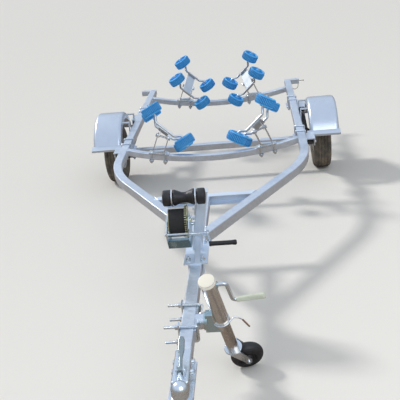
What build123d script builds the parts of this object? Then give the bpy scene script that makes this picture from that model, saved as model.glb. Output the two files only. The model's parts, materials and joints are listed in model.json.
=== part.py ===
from build123d import *
import math
import os

# Small roller boat trailer, parked on its jockey wheel.
# The trailer is drawn level first: X to the right seen from the coupler, Y to the rear from
# the towing ball, Z up from the ground under the road wheels. PARK then tips it nose down
# about the road wheels' axis and moves the origin to the bottom centre of the whole.

# Frame
TUBE = 50.0
WALL = 3.0
CORNER = 5.0
FRAME_TOP = 402.5
RAIL_X = 565.0
RAIL_END = 4231.0
APEX_Y = 1152.0
BEND_Y = 2163.0
BEND_RADIUS = 900.0
DRAWBAR_FRONT = 62.0
CROSSBAR_Y = 1635.0
CROSSBAR_DEPTH = 45.0
CROSS_TUBE = 40.0
CUT = 200.0
FRONT_CROSS_Y = 2585.0
REAR_CROSS_Y = RAIL_END - 236.0
FRONT_SAG = 73.0
REAR_SAG = 67.0

# Running gear
HUB_Y = 3166.0
NOSE_DOWN = 2.19
TYRE_RADIUS = 205.0
TYRE_WIDTH = 125.0
RIM_RADIUS = 102.0
RIM_WIDTH = 96.0
RIM_LIP = 9.0
AXLE = 45.0
AXLE_HALF = 655.0
HALF_TRACK = AXLE_HALF + 72.0
SPINDLE_RADIUS = 16.0
HUB_RADIUS = 38.0
RUNNING = 0.05
SPRING_X = AXLE_HALF - 28.0
SPRING_WIDTH = 45.0
LEAF = 7.0
LEAF_COUNT = 3
SPRING_HALF = 420.0
EYE_HEIGHT = 312.0
EYE_RADIUS = 9.0
HANGER_PLATE = 6.0
FENDER_RADIUS = 290.0
FENDER_SHEET = 2.5
FENDER_IN = HALF_TRACK - 87.0
FENDER_OUT = HALF_TRACK + 108.0
FENDER_SKIRT = 46.0
FENDER_CORNER = 24.0
FENDER_START = 27.0
FENDER_FOOT = 44.0
FENDER_FOOT_DROP = 15.0
FENDER_LIP = 13.0
FENDER_ARM_ANGLE = 66.0
LAMP_TUBE = 40.0
LAMP_REACH = 660.0
LAMP_PIN_HOLE = 6.5

# Coupler
BALL_SOCKET = 25.3
SHEET = 3.5
NOSE_RADIUS = 29.0
SOCKET_DROP = 14.0
COUPLER_BACK = 200.0
COUPLER_HEIGHT = 54.0
FLANGE_HALF = 40.0
FLANGE_FRONT = 36.0
FLANGE_LIP = 6.0
LATCH_Y = 62.0
LATCH_LIFT = 12.0
LATCH_NUT_Y = 38.0
LEVER_HALF = 11.0
LEVER_THICK = 10.0
LEVER_TIP = (0.0, 182.0, 466.0)
SIDE_BOLT_Y = (112.0, 168.0)

# Jack
JACK_COLLAR = (121.0, 415.0, 385.0)
JACK_DOWN = (0.14, 0.42, -0.897)
JACK_TUBE = 27.0
JACK_BORE = 22.0
JACK_LENGTH = 238.0
JACK_TRAVEL = 100.0
JACK_CAP = 30.0
JACK_PIVOT = (33.0, 424.0, 380.0)
JACK_PLATE = 8.0
JACK_BOSS = 30.0
JACK_BOSS_LENGTH = 22.0
UBOLT = 5.0
UBOLT_BEND = 1.6
UBOLT_BITE = 0.6
SEAT = 0.2
JACK_UBOLT_Y = (343.0, 500.0)
UBOLT_TAIL = 82.0
CRANK_HEIGHT = 208.0
CRANK_REACH = 62.0
CRANK_ARM = 97.0
CRANK_ROD = 7.0
CRANK_GRIP = 98.0
JOCKEY_RADIUS = 64.0
JOCKEY_TREAD = 25.0
JOCKEY_TRAIL = 40.0
JOCKEY_TURN = -78.0
FORK_GAP = 30.0
SWIVEL_RADIUS = 11.0

# Winch
POST = 44.0
POST_Y = 1010.0
POST_LEAN = 10.0
POST_TOP = 668.0
POST_PLATE = (845.0, 1062.0)
POST_PLATE_HALF = 50.0
POST_BOLT_INSET = 14.0
BRACE_TOP = 472.0
BRACE_WIDTH = 24.0
WINCH_Y = 925.0
WINCH_Z = 572.0
WINCH_LEFT = -108.0
WINCH_RIGHT = -12.0
WINCH_SHEET = 4.0
WINCH_FLOOR = 464.0
DRUM_RADIUS = 17.0
STRAP_RADIUS = 52.0
FLANGE_RADIUS = 54.0
SHAFT_RADIUS = 8.0
GEAR_MODULE = 3.0
GEAR_TEETH = 43
PINION_TEETH = 9
PINION_ANGLE = 19.0
GEAR_WIDTH = 8.0
CROSS_ROD = (-70.0, -31.0)
HANDLE_X = 50.0
HANDLE_TIP_X = 76.0
HANDLE_ARM = (-139.0, 12.0)
HANDLE_GRIP = (72.0, 178.0)
BOW_CENTRE = (-28.0, 945.0, 669.0)
BOW_RADIUS = 34.0
BOW_WAIST = 20.0
BOW_HALF = 46.0
BOW_EAR = 5.0
BOW_END = 36.0
BOW_SLEEVE = 12.0

# Hull cradles
CRADLE_SLOPE = 22.5
REAR_TILT = 33.0
FRONT_TILT = -23.0
REAR_PIVOT = (240.0, 461.0)
FRONT_PIVOT = (305.0, 466.0)
REAR_ROD_SLOPE = 27.0
FRONT_ROD_SLOPE = 20.0
REAR_AXLE_TURN = (9.0, 14.0)
FRONT_AXLE_TURN = (20.0, -6.0)
ROD_RADIUS = 8.0
ROD_SPACING = 199.0
ROD_OFFSET = 12.0
ROD_HEIGHT = 35.0
ROD_JOG = 30.0
ROD_KNEE = 101.0
ROD_BEND = 17.0
ROLLER_RADIUS = 63.0
ROLLER_WIDTH = 58.0
ROLLER_GAP = 13.0
PIVOT_BOLT = 6.0
STIRRUP_DROP = 96.0
STIRRUP_HALF = 32.0
CLAMP_HALF = 44.0
STRAP = 6.0

FRAME_MID = FRAME_TOP - TUBE / 2
BEND_ANGLE = math.degrees(math.atan2(RAIL_X, BEND_Y - APEX_Y))


def block(x0, x1, y0, y1, z0, z1):
    """Box between two opposite corners."""
    centre = Pos((x0 + x1) / 2, (y0 + y1) / 2, (z0 + z1) / 2)
    return centre * Box(x1 - x0, y1 - y0, z1 - z0)


def axes_at(origin, up, right):
    """Plane with Z along up and X as near to right as that allows."""
    z = Vector(*up).normalized()
    x = Vector(*right)
    x = (x - z * x.dot(z)).normalized()
    return Plane(origin=tuple(origin), x_dir=x, z_dir=z)


def pin(start, end, radius, hole=0.0):
    """Round bar, or tube where hole is set, from start to end."""
    run = Vector(*end) - Vector(*start)
    face = Circle(radius)
    if hole:
        face = face - Circle(hole)
    return extrude(Plane(origin=tuple(start), z_dir=run) * face, run.length)


def box_section(size, wall, corner):
    """Hollow square section with rounded corners."""
    inner = size - 2 * wall
    return RectangleRounded(size, size, corner) - RectangleRounded(inner, inner, corner - wall)


def bent_rod(points, radius, bend):
    """Round rod along straight runs joined by arcs of radius bend."""
    path = FilletPolyline(*points, radius=bend)
    return sweep(Plane(origin=points[0], z_dir=path % 0) * Circle(radius), path=path)


def both(shape):
    """The right-hand piece and its mirror image on the left."""
    return {"right": shape, "left": mirror(shape, about=Plane.YZ)}


def rail_path(start_x):
    """Centre line of a side rail: diagonal, bend and straight run to the rear end."""
    slope = (BEND_Y - APEX_Y) / RAIL_X
    start = (start_x, APEX_Y + start_x * slope, FRAME_MID)
    corner = (RAIL_X, BEND_Y, FRAME_MID)
    return start, FilletPolyline(start, corner, (RAIL_X, RAIL_END, FRAME_MID), radius=BEND_RADIUS)


def rail_sweep(face, start_x):
    start, path = rail_path(start_x)
    along = path % 0
    plane = Plane(origin=start, x_dir=(along.Y, -along.X, 0), z_dir=along)
    return sweep(plane * face, path=path)


def side_rail():
    """Bent square tube, mitred on the side of the drawbar."""
    rail = rail_sweep(box_section(TUBE, WALL, CORNER), -20.0)
    return rail - block(-CUT, TUBE / 2, APEX_Y - CUT, BEND_Y, 0, 2 * FRAME_TOP)


def rail_envelope():
    return rail_sweep(Rectangle(TUBE, TUBE), -20.0)


def drawbar():
    """Square tube from inside the coupler to the crossbar."""
    face = Plane.XZ.offset(-DRAWBAR_FRONT) * Pos(0, FRAME_MID) * box_section(TUBE, WALL, CORNER)
    return extrude(face, -(CROSSBAR_Y - DRAWBAR_FRONT))


def crossbar():
    """Channel with its open side to the front, cut to the inner faces of the diagonals."""
    half = (CROSSBAR_Y + CROSSBAR_DEPTH / 2 - APEX_Y) * math.tan(math.radians(BEND_ANGLE))
    back = CROSSBAR_Y + CROSSBAR_DEPTH
    low = FRAME_TOP - TUBE
    bar = block(-half, half, CROSSBAR_Y, back, low, FRAME_TOP)
    bar -= block(-half, half, CROSSBAR_Y, back - SHEET, low + SHEET, FRAME_TOP - SHEET)
    envelope = rail_envelope()
    return bar - envelope - mirror(envelope, about=Plane.YZ)


def bow_radius(sag):
    half = RAIL_X - TUBE / 2
    return (half ** 2 + sag ** 2) / (2 * sag)


def bow_frame(y, sag, x):
    """Plane on a bowed crossmember's centre line at x: X along it, Z away from its curve's centre."""
    radius = bow_radius(sag)
    middle = FRAME_TOP - CROSS_TUBE / 2 - sag
    turn = math.asin(x / radius)
    origin = (x, y, middle + radius * (1 - math.cos(turn)))
    return Plane(origin=origin, x_dir=(math.cos(turn), 0, math.sin(turn)),
                 z_dir=(-math.sin(turn), 0, math.cos(turn)))


def bow_sweep(y, sag, face):
    """A section swept along a crossmember's bow, a little past the rails' inner faces."""
    reach = RAIL_X - TUBE / 4
    ends = [bow_frame(y, sag, x).origin for x in (-reach, 0, reach)]
    path = ThreePointArc(*[tuple(p) for p in ends])
    plane = Plane(origin=tuple(ends[0]), x_dir=(0, 1, 0), z_dir=path % 0)
    return sweep(plane * face, path=path)


def crossmember(y, sag):
    """Square tube bowed down in the middle, cut off at the rails' inner faces."""
    inner = RAIL_X - TUBE / 2
    bar = bow_sweep(y, sag, box_section(CROSS_TUBE, WALL, CORNER))
    for side in (-1, 1):
        cut = sorted((side * inner, side * (inner + TUBE)))
        bar -= block(*cut, y - TUBE, y + TUBE, 0, 2 * FRAME_TOP)
    return bar


def axle_beam():
    """Square axle with a turned spindle at each end."""
    face = Plane.YZ.offset(-AXLE_HALF) * Pos(HUB_Y, TYRE_RADIUS) * box_section(AXLE, 4.0, CORNER)
    beam = extrude(face, 2 * AXLE_HALF)
    for side in (-1, 1):
        root = side * (AXLE_HALF - 40.0)
        step = side * (AXLE_HALF + 8.0)
        tip = side * (HALF_TRACK + 46.0)
        beam += pin((root, HUB_Y, TYRE_RADIUS), (step, HUB_Y, TYRE_RADIUS), AXLE / 2 - 1.0)
        beam += pin((step, HUB_Y, TYRE_RADIUS), (tip, HUB_Y, TYRE_RADIUS), SPINDLE_RADIUS)
    return beam


def spring_arc(drop, half, low):
    """Side view of one leaf: an arc, lowest over the axle."""
    rise = drop * (half / SPRING_HALF) ** 2
    return ThreePointArc((HUB_Y - half, low + rise), (HUB_Y, low), (HUB_Y + half, low + rise))


def leaf_spring():
    """Leaves stacked on the axle, the top one rolled into an eye at each end."""
    seat = TYRE_RADIUS + AXLE / 2 + 4.0
    side = Plane.YZ.offset(SPRING_X - SPRING_WIDTH / 2)
    drop = EYE_HEIGHT - seat - LEAF * LEAF_COUNT + LEAF / 2 + EYE_RADIUS
    pack = None
    for i in range(LEAF_COUNT):
        half = SPRING_HALF * (0.62 + 0.38 * i / (LEAF_COUNT - 1))
        low = seat + LEAF * i
        arc = spring_arc(drop, half, low)
        top = Pos(0, LEAF) * arc
        ends = [Line(arc @ 0, top @ 0), Line(arc @ 1, top @ 1)]
        leaf = extrude(side * make_face([arc, top] + ends), SPRING_WIDTH)
        pack = leaf if pack is None else pack + leaf
    for y in (HUB_Y - SPRING_HALF, HUB_Y + SPRING_HALF):
        eye = (SPRING_X - SPRING_WIDTH / 2, y, EYE_HEIGHT)
        end = (SPRING_X + SPRING_WIDTH / 2, y, EYE_HEIGHT)
        pack -= pin(eye, end, EYE_RADIUS)
        pack += pin(eye, end, EYE_RADIUS + LEAF, EYE_RADIUS)
    pack += block(SPRING_X - 30, SPRING_X + 30, HUB_Y - 35, HUB_Y + 35,
                  seat + LEAF * LEAF_COUNT, seat + LEAF * LEAF_COUNT + HANGER_PLATE)
    pack += block(SPRING_X - 30, SPRING_X + 28, HUB_Y - 28, HUB_Y + 28, seat - 4.0, seat)
    below = TYRE_RADIUS - AXLE / 2
    gap = AXLE / 2 + UBOLT + 1
    for y in (HUB_Y - gap, HUB_Y + gap):
        ring = [(SPRING_X - 26, y, below - 14), (SPRING_X - 26, y, seat + 40),
                (SPRING_X + 26, y, seat + 40), (SPRING_X + 26, y, below - 14)]
        pack += bent_rod(ring, UBOLT, 14.0)
    plate = block(SPRING_X - 34, SPRING_X + 34, HUB_Y - 42, HUB_Y + 42, below - 7, below - 1)
    return pack + plate


def ubolt_y(x0, x1, y, low, high, radius):
    """U-bolt standing across X, legs down at x0 and x1, its bend on top at high."""
    points = [(x0, y, low), (x0, y, high), (x1, y, high), (x1, y, low)]
    return bent_rod(points, radius, radius * UBOLT_BEND)


def spring_hangers():
    """Front and rear spring hangers, each clamped under the rail by two U-bolts."""
    low = FRAME_TOP - TUBE
    inner = RAIL_X - TUBE / 2
    outer = RAIL_X + TUBE / 2
    cheeks = (SPRING_X - SPRING_WIDTH / 2 - 1 - HANGER_PLATE, SPRING_X + SPRING_WIDTH / 2 + 1)
    group = None
    for y in (HUB_Y - SPRING_HALF, HUB_Y + SPRING_HALF):
        plate = block(inner - 22, cheeks[1] + HANGER_PLATE, y - 70, y + 70, low - HANGER_PLATE, low)
        for x in cheeks:
            outline = make_face(Polyline((y - 50, low), (y + 50, low), (y + 24, EYE_HEIGHT - 22),
                                         (y - 24, EYE_HEIGHT - 22), close=True))
            plate += extrude(Plane.YZ.offset(x) * outline, HANGER_PLATE)
        ends = (cheeks[0] - 8, cheeks[1] + HANGER_PLATE + 8)
        plate += pin((ends[0], y, EYE_HEIGHT), (ends[1], y, EYE_HEIGHT), EYE_RADIUS - RUNNING)
        for offset in (-58, 58):
            plate += ubolt_y(inner - UBOLT - 0.3, outer + UBOLT + 0.3, y + offset,
                             low - 24, FRAME_TOP + UBOLT + 0.3, UBOLT)
        group = plate if group is None else group + plate
    return group


def fender_section(inset):
    """Open U of the mudguard in X and distance from the hub, its back and sides moved in by inset."""
    top = FENDER_RADIUS + FENDER_SHEET - inset
    low = FENDER_RADIUS + FENDER_SHEET - FENDER_SKIRT
    left = FENDER_IN + inset
    right = FENDER_OUT - inset
    return FilletPolyline((left, low), (left, top), (right, top), (right, low), radius=FENDER_CORNER - inset)


def fender():
    """Mudguard with rounded shoulders and deep sides, turned about the hub, with a flared foot at each end."""
    start = math.radians(FENDER_START)
    centre = (0, HUB_Y, TYRE_RADIUS)
    plane = Plane(origin=centre, x_dir=(1, 0, 0), z_dir=(0, -math.sin(start), math.cos(start)))
    outer = fender_section(0)
    inner = fender_section(FENDER_SHEET)
    face = make_face([outer, inner, Line(outer @ 0, inner @ 0), Line(outer @ 1, inner @ 1)])
    guard = revolve(plane * face, Axis(centre, (1, 0, 0)), 180 - 2 * FENDER_START)
    sheet = FENDER_SHEET
    run = (FENDER_RADIUS + sheet) * math.cos(start)
    rise = TYRE_RADIUS + (FENDER_RADIUS + sheet) * math.sin(start)
    end = run + FENDER_FOOT
    low = rise - FENDER_FOOT_DROP
    outline = [(run - sheet, rise + sheet / 2), (run, rise), (end, low), (end, low - FENDER_LIP),
               (end - sheet, low - FENDER_LIP), (end - sheet, low - sheet), (run - sheet, rise - sheet)]
    for sign in (-1, 1):
        foot = make_face(Polyline(*[(HUB_Y + sign * y, z) for y, z in outline], close=True))
        side = Plane.YZ.offset(FENDER_IN - FENDER_CORNER + 2 * sheet)
        guard += extrude(side * foot, FENDER_OUT - FENDER_IN + FENDER_CORNER, dir=(1, 0, 0))
    return guard


def fender_arms():
    """Flat arms from the rail's outer face to the mudguard's inner side."""
    outer = RAIL_X + TUBE / 2
    arms = None
    lift = FENDER_RADIUS * math.sin(math.radians(FENDER_ARM_ANGLE))
    reach = FENDER_RADIUS * math.cos(math.radians(FENDER_ARM_ANGLE))
    top = TYRE_RADIUS + lift - 2 * STRAP
    for sign in (-1, 1):
        y = HUB_Y + sign * reach
        arm = block(outer, FENDER_IN + 1, y - 15, y + 15, top - STRAP, top)
        arm += block(outer, outer + STRAP, y - 15, y + 15, FRAME_TOP - 40, top)
        arms = arm if arms is None else arms + arm
    return arms


def lamp_socket():
    """Square socket across the rail's rear end, with a cross hole for the lamp board's pin."""
    y0 = RAIL_END
    z1 = FRAME_TOP
    length = LAMP_REACH - (RAIL_X - TUBE / 2)
    face = Plane.YZ.offset(RAIL_X - TUBE / 2) * Pos(y0 + LAMP_TUBE / 2, z1 - LAMP_TUBE / 2)
    tube = extrude(face * box_section(LAMP_TUBE, WALL, CORNER), length)
    hole_x = LAMP_REACH - 26.0
    return tube - pin((hole_x, y0 + LAMP_TUBE / 2, z1 - LAMP_TUBE - 5),
                      (hole_x, y0 + LAMP_TUBE / 2, z1 + 5), LAMP_PIN_HOLE)


def tyre():
    """Road tyre about the hub's axis."""
    half = TYRE_WIDTH / 2
    bead = RIM_RADIUS + 0.3
    seat = RIM_WIDTH / 2 - 9.0
    lip = RIM_RADIUS + RIM_LIP
    points = [(bead, -seat), (lip + 2, 6 - RIM_WIDTH / 2), (lip + 9, -RIM_WIDTH / 2), (TYRE_RADIUS - 46, -half),
              (TYRE_RADIUS - 8, 12 - half), (TYRE_RADIUS, 34 - half)]
    outline = FilletPolyline(*points, *[(x, -y) for x, y in reversed(points)], radius=5.0)
    points = [(bead, seat), (bead, seat - 14), (TYRE_RADIUS - 40, half - 12), (TYRE_RADIUS - 14, 24)]
    inner = FilletPolyline(*points, *[(x, -y) for x, y in reversed(points)], radius=6.0)
    ring = revolve(Plane.XZ * make_face([outline, inner]), Axis.Z)
    return Pos(HALF_TRACK, HUB_Y, TYRE_RADIUS) * Rot(0, 90, 0) * ring


def road_wheel():
    """Pressed rim with its dish, and the hub that turns on the spindle."""
    half = RIM_WIDTH / 2
    lip = RIM_RADIUS + RIM_LIP
    outline = Polyline((RIM_RADIUS - 3, -half + 3), (lip, -half), (lip, -half + 3),
                       (RIM_RADIUS, -half + 8), (RIM_RADIUS, -half + 24), (RIM_RADIUS - 14, -half + 34),
                       (RIM_RADIUS - 14, half - 34), (RIM_RADIUS, half - 24), (RIM_RADIUS, half - 8),
                       (lip, half - 3), (lip, half), (RIM_RADIUS - 3, half - 3),
                       (RIM_RADIUS - 3, half - 23), (RIM_RADIUS - 17, half - 33),
                       (RIM_RADIUS - 17, 14), (60, 22), (46, 22), (30, 22), (30, 18),
                       (58, 18), (RIM_RADIUS - 17, 10), (RIM_RADIUS - 17, -half + 33),
                       (RIM_RADIUS - 3, -half + 23), close=True)
    rim = revolve(Plane.XZ * make_face(outline), Axis.Z)
    hub = Polyline((SPINDLE_RADIUS + RUNNING, -50), (HUB_RADIUS - 6, -50), (HUB_RADIUS, -20),
                   (HUB_RADIUS, 12), (HUB_RADIUS + 18, 12), (HUB_RADIUS + 18, 18.0),
                   (30, 18), (30, 44), (24, 50), (0, 50), (0, 47), (SPINDLE_RADIUS + RUNNING, 47),
                   close=True)
    rim += revolve(Plane.XZ * make_face(hub), Axis.Z)
    for i in range(4):
        stud = Rot(0, 0, 45 + 90 * i) * Pos(47, 0, 22) * Cylinder(8, 12, align=(Align.CENTER,) * 2 + (Align.MIN,))
        rim += stud
    return Pos(HALF_TRACK, HUB_Y, TYRE_RADIUS) * Rot(0, 90, 0) * rim


def flange_plan(inset):
    """Outline of the coupler's flange: straight sides and a round front, moved in by inset."""
    length = 2 * (COUPLER_BACK + FLANGE_FRONT - inset)
    return Pos(0, COUPLER_BACK) * SlotOverall(length, 2 * (FLANGE_HALF - inset), rotation=90)


def coupler_body():
    """Pressed coupler: domed ball socket, channel over the drawbar and a turned-down flange."""
    low = FRAME_TOP - COUPLER_HEIGHT + SHEET
    top = FRAME_TOP + SHEET
    half = TUBE / 2 + SHEET + 0.3
    centre = FRAME_TOP - SOCKET_DROP
    nose = Pos(0, 0, (low + centre) / 2) * Cylinder(NOSE_RADIUS, centre - low)
    nose += Pos(0, 0, centre) * Sphere(NOSE_RADIUS)
    channel = block(-half, half, NOSE_RADIUS / 2, COUPLER_BACK, low, top)
    channel = fillet(channel.edges().filter_by(Axis.Y).group_by(Axis.Z)[-1], 2 * SHEET)
    channel = fillet(channel.faces().sort_by(Axis.Y)[0].edges().sort_by(Axis.Z)[-1], 2 * SHEET)
    nose += channel
    nose -= block(-CUT, CUT, -CUT, COUPLER_BACK + CUT, low - CUT, low)
    flange = extrude(Plane.XY.offset(low) * flange_plan(0), SHEET)
    flange += extrude(Plane.XY.offset(low - FLANGE_LIP) * (flange_plan(0) - flange_plan(SHEET)), FLANGE_LIP + SHEET)
    flange -= block(-CUT, CUT, COUPLER_BACK, 3 * COUPLER_BACK, 0, 2 * FRAME_TOP)
    body = nose + flange
    body -= Pos(0, 0, centre) * Sphere(BALL_SOCKET)
    body -= Pos(0, 0, (low + centre) / 2 - 5) * Cylinder(BALL_SOCKET, centre - low + 10)
    hollow = TUBE / 2 + 0.3
    body -= block(-hollow, hollow, DRAWBAR_FRONT - 4, COUPLER_BACK + 1, low - 10, FRAME_TOP)
    body -= block(-14, 14, 0, DRAWBAR_FRONT, low - 10, centre)
    for side in (-1, 1):
        ear = block(side * 12 - 2, side * 12 + 2, LATCH_Y - 14, LATCH_Y + 14, top - 1, top + LATCH_LIFT)
        ear += pin((side * 12 - 2, LATCH_Y, top + LATCH_LIFT), (side * 12 + 2, LATCH_Y, top + LATCH_LIFT), 14)
        body += ear - block(-CUT, CUT, -CUT, 2 * CUT, FRAME_TOP - 20, top - 1)
        for y in SIDE_BOLT_Y:
            body += pin((side * half, y, FRAME_MID), (side * (half + 8), y, FRAME_MID), 9.0)
    pin_ends = [(x, LATCH_Y, top + LATCH_LIFT) for x in (-17, 17)]
    body += pin((0, LATCH_NUT_Y, top - 1), (0, LATCH_NUT_Y, top + 7), 8.5)
    body += pin((0, LATCH_NUT_Y, top), (0, LATCH_NUT_Y, top + 15), UBOLT)
    return body + pin(*pin_ends, 5.0)


def coupler_handle():
    """Latch lever lying back along the coupler, spoon-shaped at its grip."""
    top = FRAME_TOP + SHEET + LATCH_LIFT
    run = Vector(0, LEVER_TIP[1] - LATCH_Y, LEVER_TIP[2] - top)
    plane = Plane(origin=(0, LATCH_Y, top), x_dir=(1, 0, 0), z_dir=Vector(1, 0, 0).cross(run))
    length = run.length
    waist = LEVER_HALF * 0.55
    half = [(waist, 0), (waist, length * 0.36), (LEVER_HALF, length * 0.58), (LEVER_HALF, length * 0.9),
            (LEVER_HALF * 0.6, length)]
    outline = FilletPolyline(*half, *[(-x, y) for x, y in reversed(half)], radius=3.5)
    grip = make_face([outline, Line(outline @ 1, outline @ 0)])
    lever = extrude(plane * grip, LEVER_THICK / 2, both=True)
    rims = lever.faces().filter_by(Plane(origin=(0, 0, 0), z_dir=plane.z_dir))
    lever = fillet([edge for face in rims for edge in face.edges() if edge.center().Y > LATCH_Y + 1],
                   LEVER_THICK * 0.38)
    lever += pin((-8, LATCH_Y, top), (8, LATCH_Y, top), 10.0)
    return lever - pin((-20, LATCH_Y, top), (20, LATCH_Y, top), 5.0 + RUNNING)


def jack_axes():
    up = [-v for v in JACK_DOWN]
    return axes_at(JACK_COLLAR, up, (1, 0, 0))


def jack_bracket():
    """Mounting plate with its pivot boss, clamped on the drawbar by two U-bolts."""
    side = TUBE / 2
    low = FRAME_TOP - TUBE
    y0 = JACK_UBOLT_Y[0] - 20
    y1 = JACK_UBOLT_Y[1] + 20
    plate = block(side, side + JACK_PLATE, y0, y1, low + 1, FRAME_TOP - 1)
    px, py, pz = JACK_PIVOT
    plate += pin((side + 1, py, pz), (side + JACK_PLATE + JACK_BOSS_LENGTH, py, pz), JACK_BOSS)
    end = side + JACK_PLATE + JACK_BOSS_LENGTH
    plate += pin((end - 1, py, pz), (end + 20, py, pz), 14.0)
    for y in JACK_UBOLT_Y:
        top = FRAME_TOP + UBOLT + 0.3
        bottom = low - UBOLT - 0.3
        reach = side + JACK_PLATE + UBOLT - UBOLT_BITE
        points = [(-UBOLT_TAIL, y, top), (reach, y, top), (reach, y, bottom), (-UBOLT_TAIL, y, bottom)]
        plate += bent_rod(points, UBOLT, UBOLT * UBOLT_BEND)
        plate += block(-side - 6, -side, y - 16, y + 16, bottom - 14, top + 14)
        for z in (top, bottom):
            plate += pin((-side - 6, y, z), (-side - 15, y, z), 9.0)
    return plate


def jack_outer_tube():
    """Jack tube with its cap, and the arm that turns on the bracket's pivot."""
    frame = jack_axes()
    tube = extrude(frame * Circle(JACK_TUBE), JACK_LENGTH - 8)
    tube += extrude(frame.offset(-6) * Circle(JACK_TUBE + 3), 16)
    tube += extrude(frame.offset(JACK_LENGTH - 14) * Circle(JACK_CAP), 14)
    shaft = frame.location * Pos(0, 0, CRANK_HEIGHT)
    tube += shaft * Rot(0, 90, 0) * Pos(0, 0, 16) * Cylinder(13, 32)
    end = TUBE / 2 + JACK_PLATE + JACK_BOSS_LENGTH
    px, py, pz = JACK_PIVOT
    disc = pin((end + 0.5, py, pz), (end + 12.5, py, pz), JACK_BOSS + 4)
    arm = block(end + 6, JACK_COLLAR[0] + 4, py - 26, py + 20, pz - 34, pz + 34)
    tube += disc + arm
    tube -= pin((end, py, pz), (end + 20.5, py, pz), 14.0 + RUNNING)
    tube -= extrude(frame.offset(-CUT) * Circle(JACK_BORE), JACK_LENGTH + CUT - 14)
    tube -= extrude(frame.offset(20) * Circle(JACK_TUBE - WALL), JACK_LENGTH - 34)
    tube -= shaft * Rot(0, 90, 0) * Pos(0, 0, 20) * Cylinder(CRANK_ROD + RUNNING, 40)
    return tube


def jack_reach():
    """Length of inner tube out of the collar that puts the jockey wheel on the ground."""
    frame = jack_axes()
    nose = math.radians(NOSE_DOWN)
    lift = Vector(0, math.sin(nose), math.cos(nose))
    axle = jockey_axle(frame)
    rim = JOCKEY_RADIUS - JOCKEY_TREAD
    low = rim * math.sqrt(1 - axle.dot(lift) ** 2) + JOCKEY_TREAD
    start = Vector(*JACK_COLLAR) + jockey_offset(frame)
    base = Vector(0, HUB_Y, TYRE_RADIUS)
    height = (start - base).dot(lift) + TYRE_RADIUS
    return (height - low) / (frame.z_dir.dot(lift))


def jockey_axle(frame):
    turn = math.radians(JOCKEY_TURN)
    return frame.x_dir * math.cos(turn) + frame.y_dir * math.sin(turn)


def jockey_offset(frame):
    turn = math.radians(JOCKEY_TURN)
    return (frame.y_dir * math.cos(turn) - frame.x_dir * math.sin(turn)) * JOCKEY_TRAIL


def fork_axes():
    """Plane at the jockey wheel's centre: X along its axle, Z up the jack."""
    frame = jack_axes()
    centre = Vector(*JACK_COLLAR) + jockey_offset(frame) - frame.z_dir * jack_reach()
    return Plane(origin=tuple(centre), x_dir=jockey_axle(frame), z_dir=frame.z_dir)


def fork_top():
    return JOCKEY_RADIUS + 14.0


def jack_inner_tube():
    """Sliding tube with a plug at its foot that carries the fork's swivel."""
    frame = jack_axes()
    foot = -jack_reach() + fork_top()
    top = CRANK_HEIGHT - CRANK_ROD - JACK_TRAVEL - 6
    tube = extrude(frame.offset(foot) * (Circle(JACK_BORE - RUNNING) - Circle(JACK_BORE - WALL)), top - foot)
    tube += extrude(frame.offset(foot) * (Circle(JACK_BORE - RUNNING) - Circle(SWIVEL_RADIUS + RUNNING)), 12)
    return tube


def jack_crank():
    """Side-wind handle: shaft, arm and grip."""
    shaft = jack_axes().location * Pos(0, 0, CRANK_HEIGHT)
    path = [(2, 0, 0), (CRANK_REACH, 0, 0), (CRANK_REACH + 3, 0, -CRANK_ARM), (CRANK_REACH + 30, 0, -CRANK_ARM)]
    rod = bent_rod(path, CRANK_ROD, 2 * CRANK_ROD)
    grip = Pos(CRANK_REACH + 18, 0, -CRANK_ARM) * Rot(0, 90, 0) * Cone(
        8.0, 10.5, CRANK_GRIP, align=(Align.CENTER,) * 2 + (Align.MIN,))
    return shaft * (rod + grip)


def jockey_fork():
    """Bent-plate fork that swivels in the inner tube's foot."""
    plane = fork_axes()
    top = fork_top()
    offset = JOCKEY_TRAIL
    plate = 5.0
    gap = FORK_GAP
    legs = None
    outline = make_face(Polyline((-offset - 18, top), (-offset + 22, top), (14, 8), (10, -10), (-10, -10),
                                 (-16, 6), close=True))
    for x in (-gap - plate, gap):
        leg = extrude(Plane(origin=(x, 0, 0), x_dir=(0, 1, 0), z_dir=(1, 0, 0)) * outline, plate)
        legs = leg if legs is None else legs + leg
    fork = legs + block(-gap - plate, gap + plate, -offset - 18, -offset + 22, top - plate, top)
    cup = Pos(0, -offset, top - plate / 2) * Cylinder(JACK_TUBE + 8, plate)
    cup = fillet(cup.edges().sort_by(Axis.Z)[-1], plate * 0.7)
    fork += cup
    fork += pin((0, -offset, top - 1), (0, -offset, top + 26), SWIVEL_RADIUS)
    fork += pin((-gap - plate - 6, 0, 0), (gap + plate + 6, 0, 0), 6.0)
    return plane.location * fork


def jockey_wheel():
    """Small solid wheel with a rounded tread."""
    plane = fork_axes()
    half = JOCKEY_TREAD
    rim = JOCKEY_RADIUS - JOCKEY_TREAD
    arc = CenterArc((rim, 0), half, -90, 180)
    inner = Polyline(arc @ 1, (34, half), (22, half - 8), (16, half + 3), (6 + RUNNING, half + 3),
                     (6 + RUNNING, -half - 3), (16, -half - 3), (22, -half + 8), (34, -half), arc @ 0)
    wheel = revolve(Plane.XZ * make_face([arc, inner]), Axis.Z)
    return plane.location * Rot(0, 90, 0) * wheel


def post_axes():
    lean = math.radians(POST_LEAN)
    return Plane(origin=(0, POST_Y, FRAME_TOP + HANGER_PLATE),
                 x_dir=(math.cos(lean), 0, -math.sin(lean)), z_dir=(math.sin(lean), 0, math.cos(lean)))


def post_solid():
    """The post's outer form, without its hollow, run out past both ends."""
    return post_axes().location * Box(POST, POST, 4 * CUT)


def post_left(z):
    """X of the post's left face at height z."""
    lean = math.radians(POST_LEAN)
    return (z - FRAME_TOP - HANGER_PLATE) * math.tan(lean) - POST / 2 / math.cos(lean)


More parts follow.
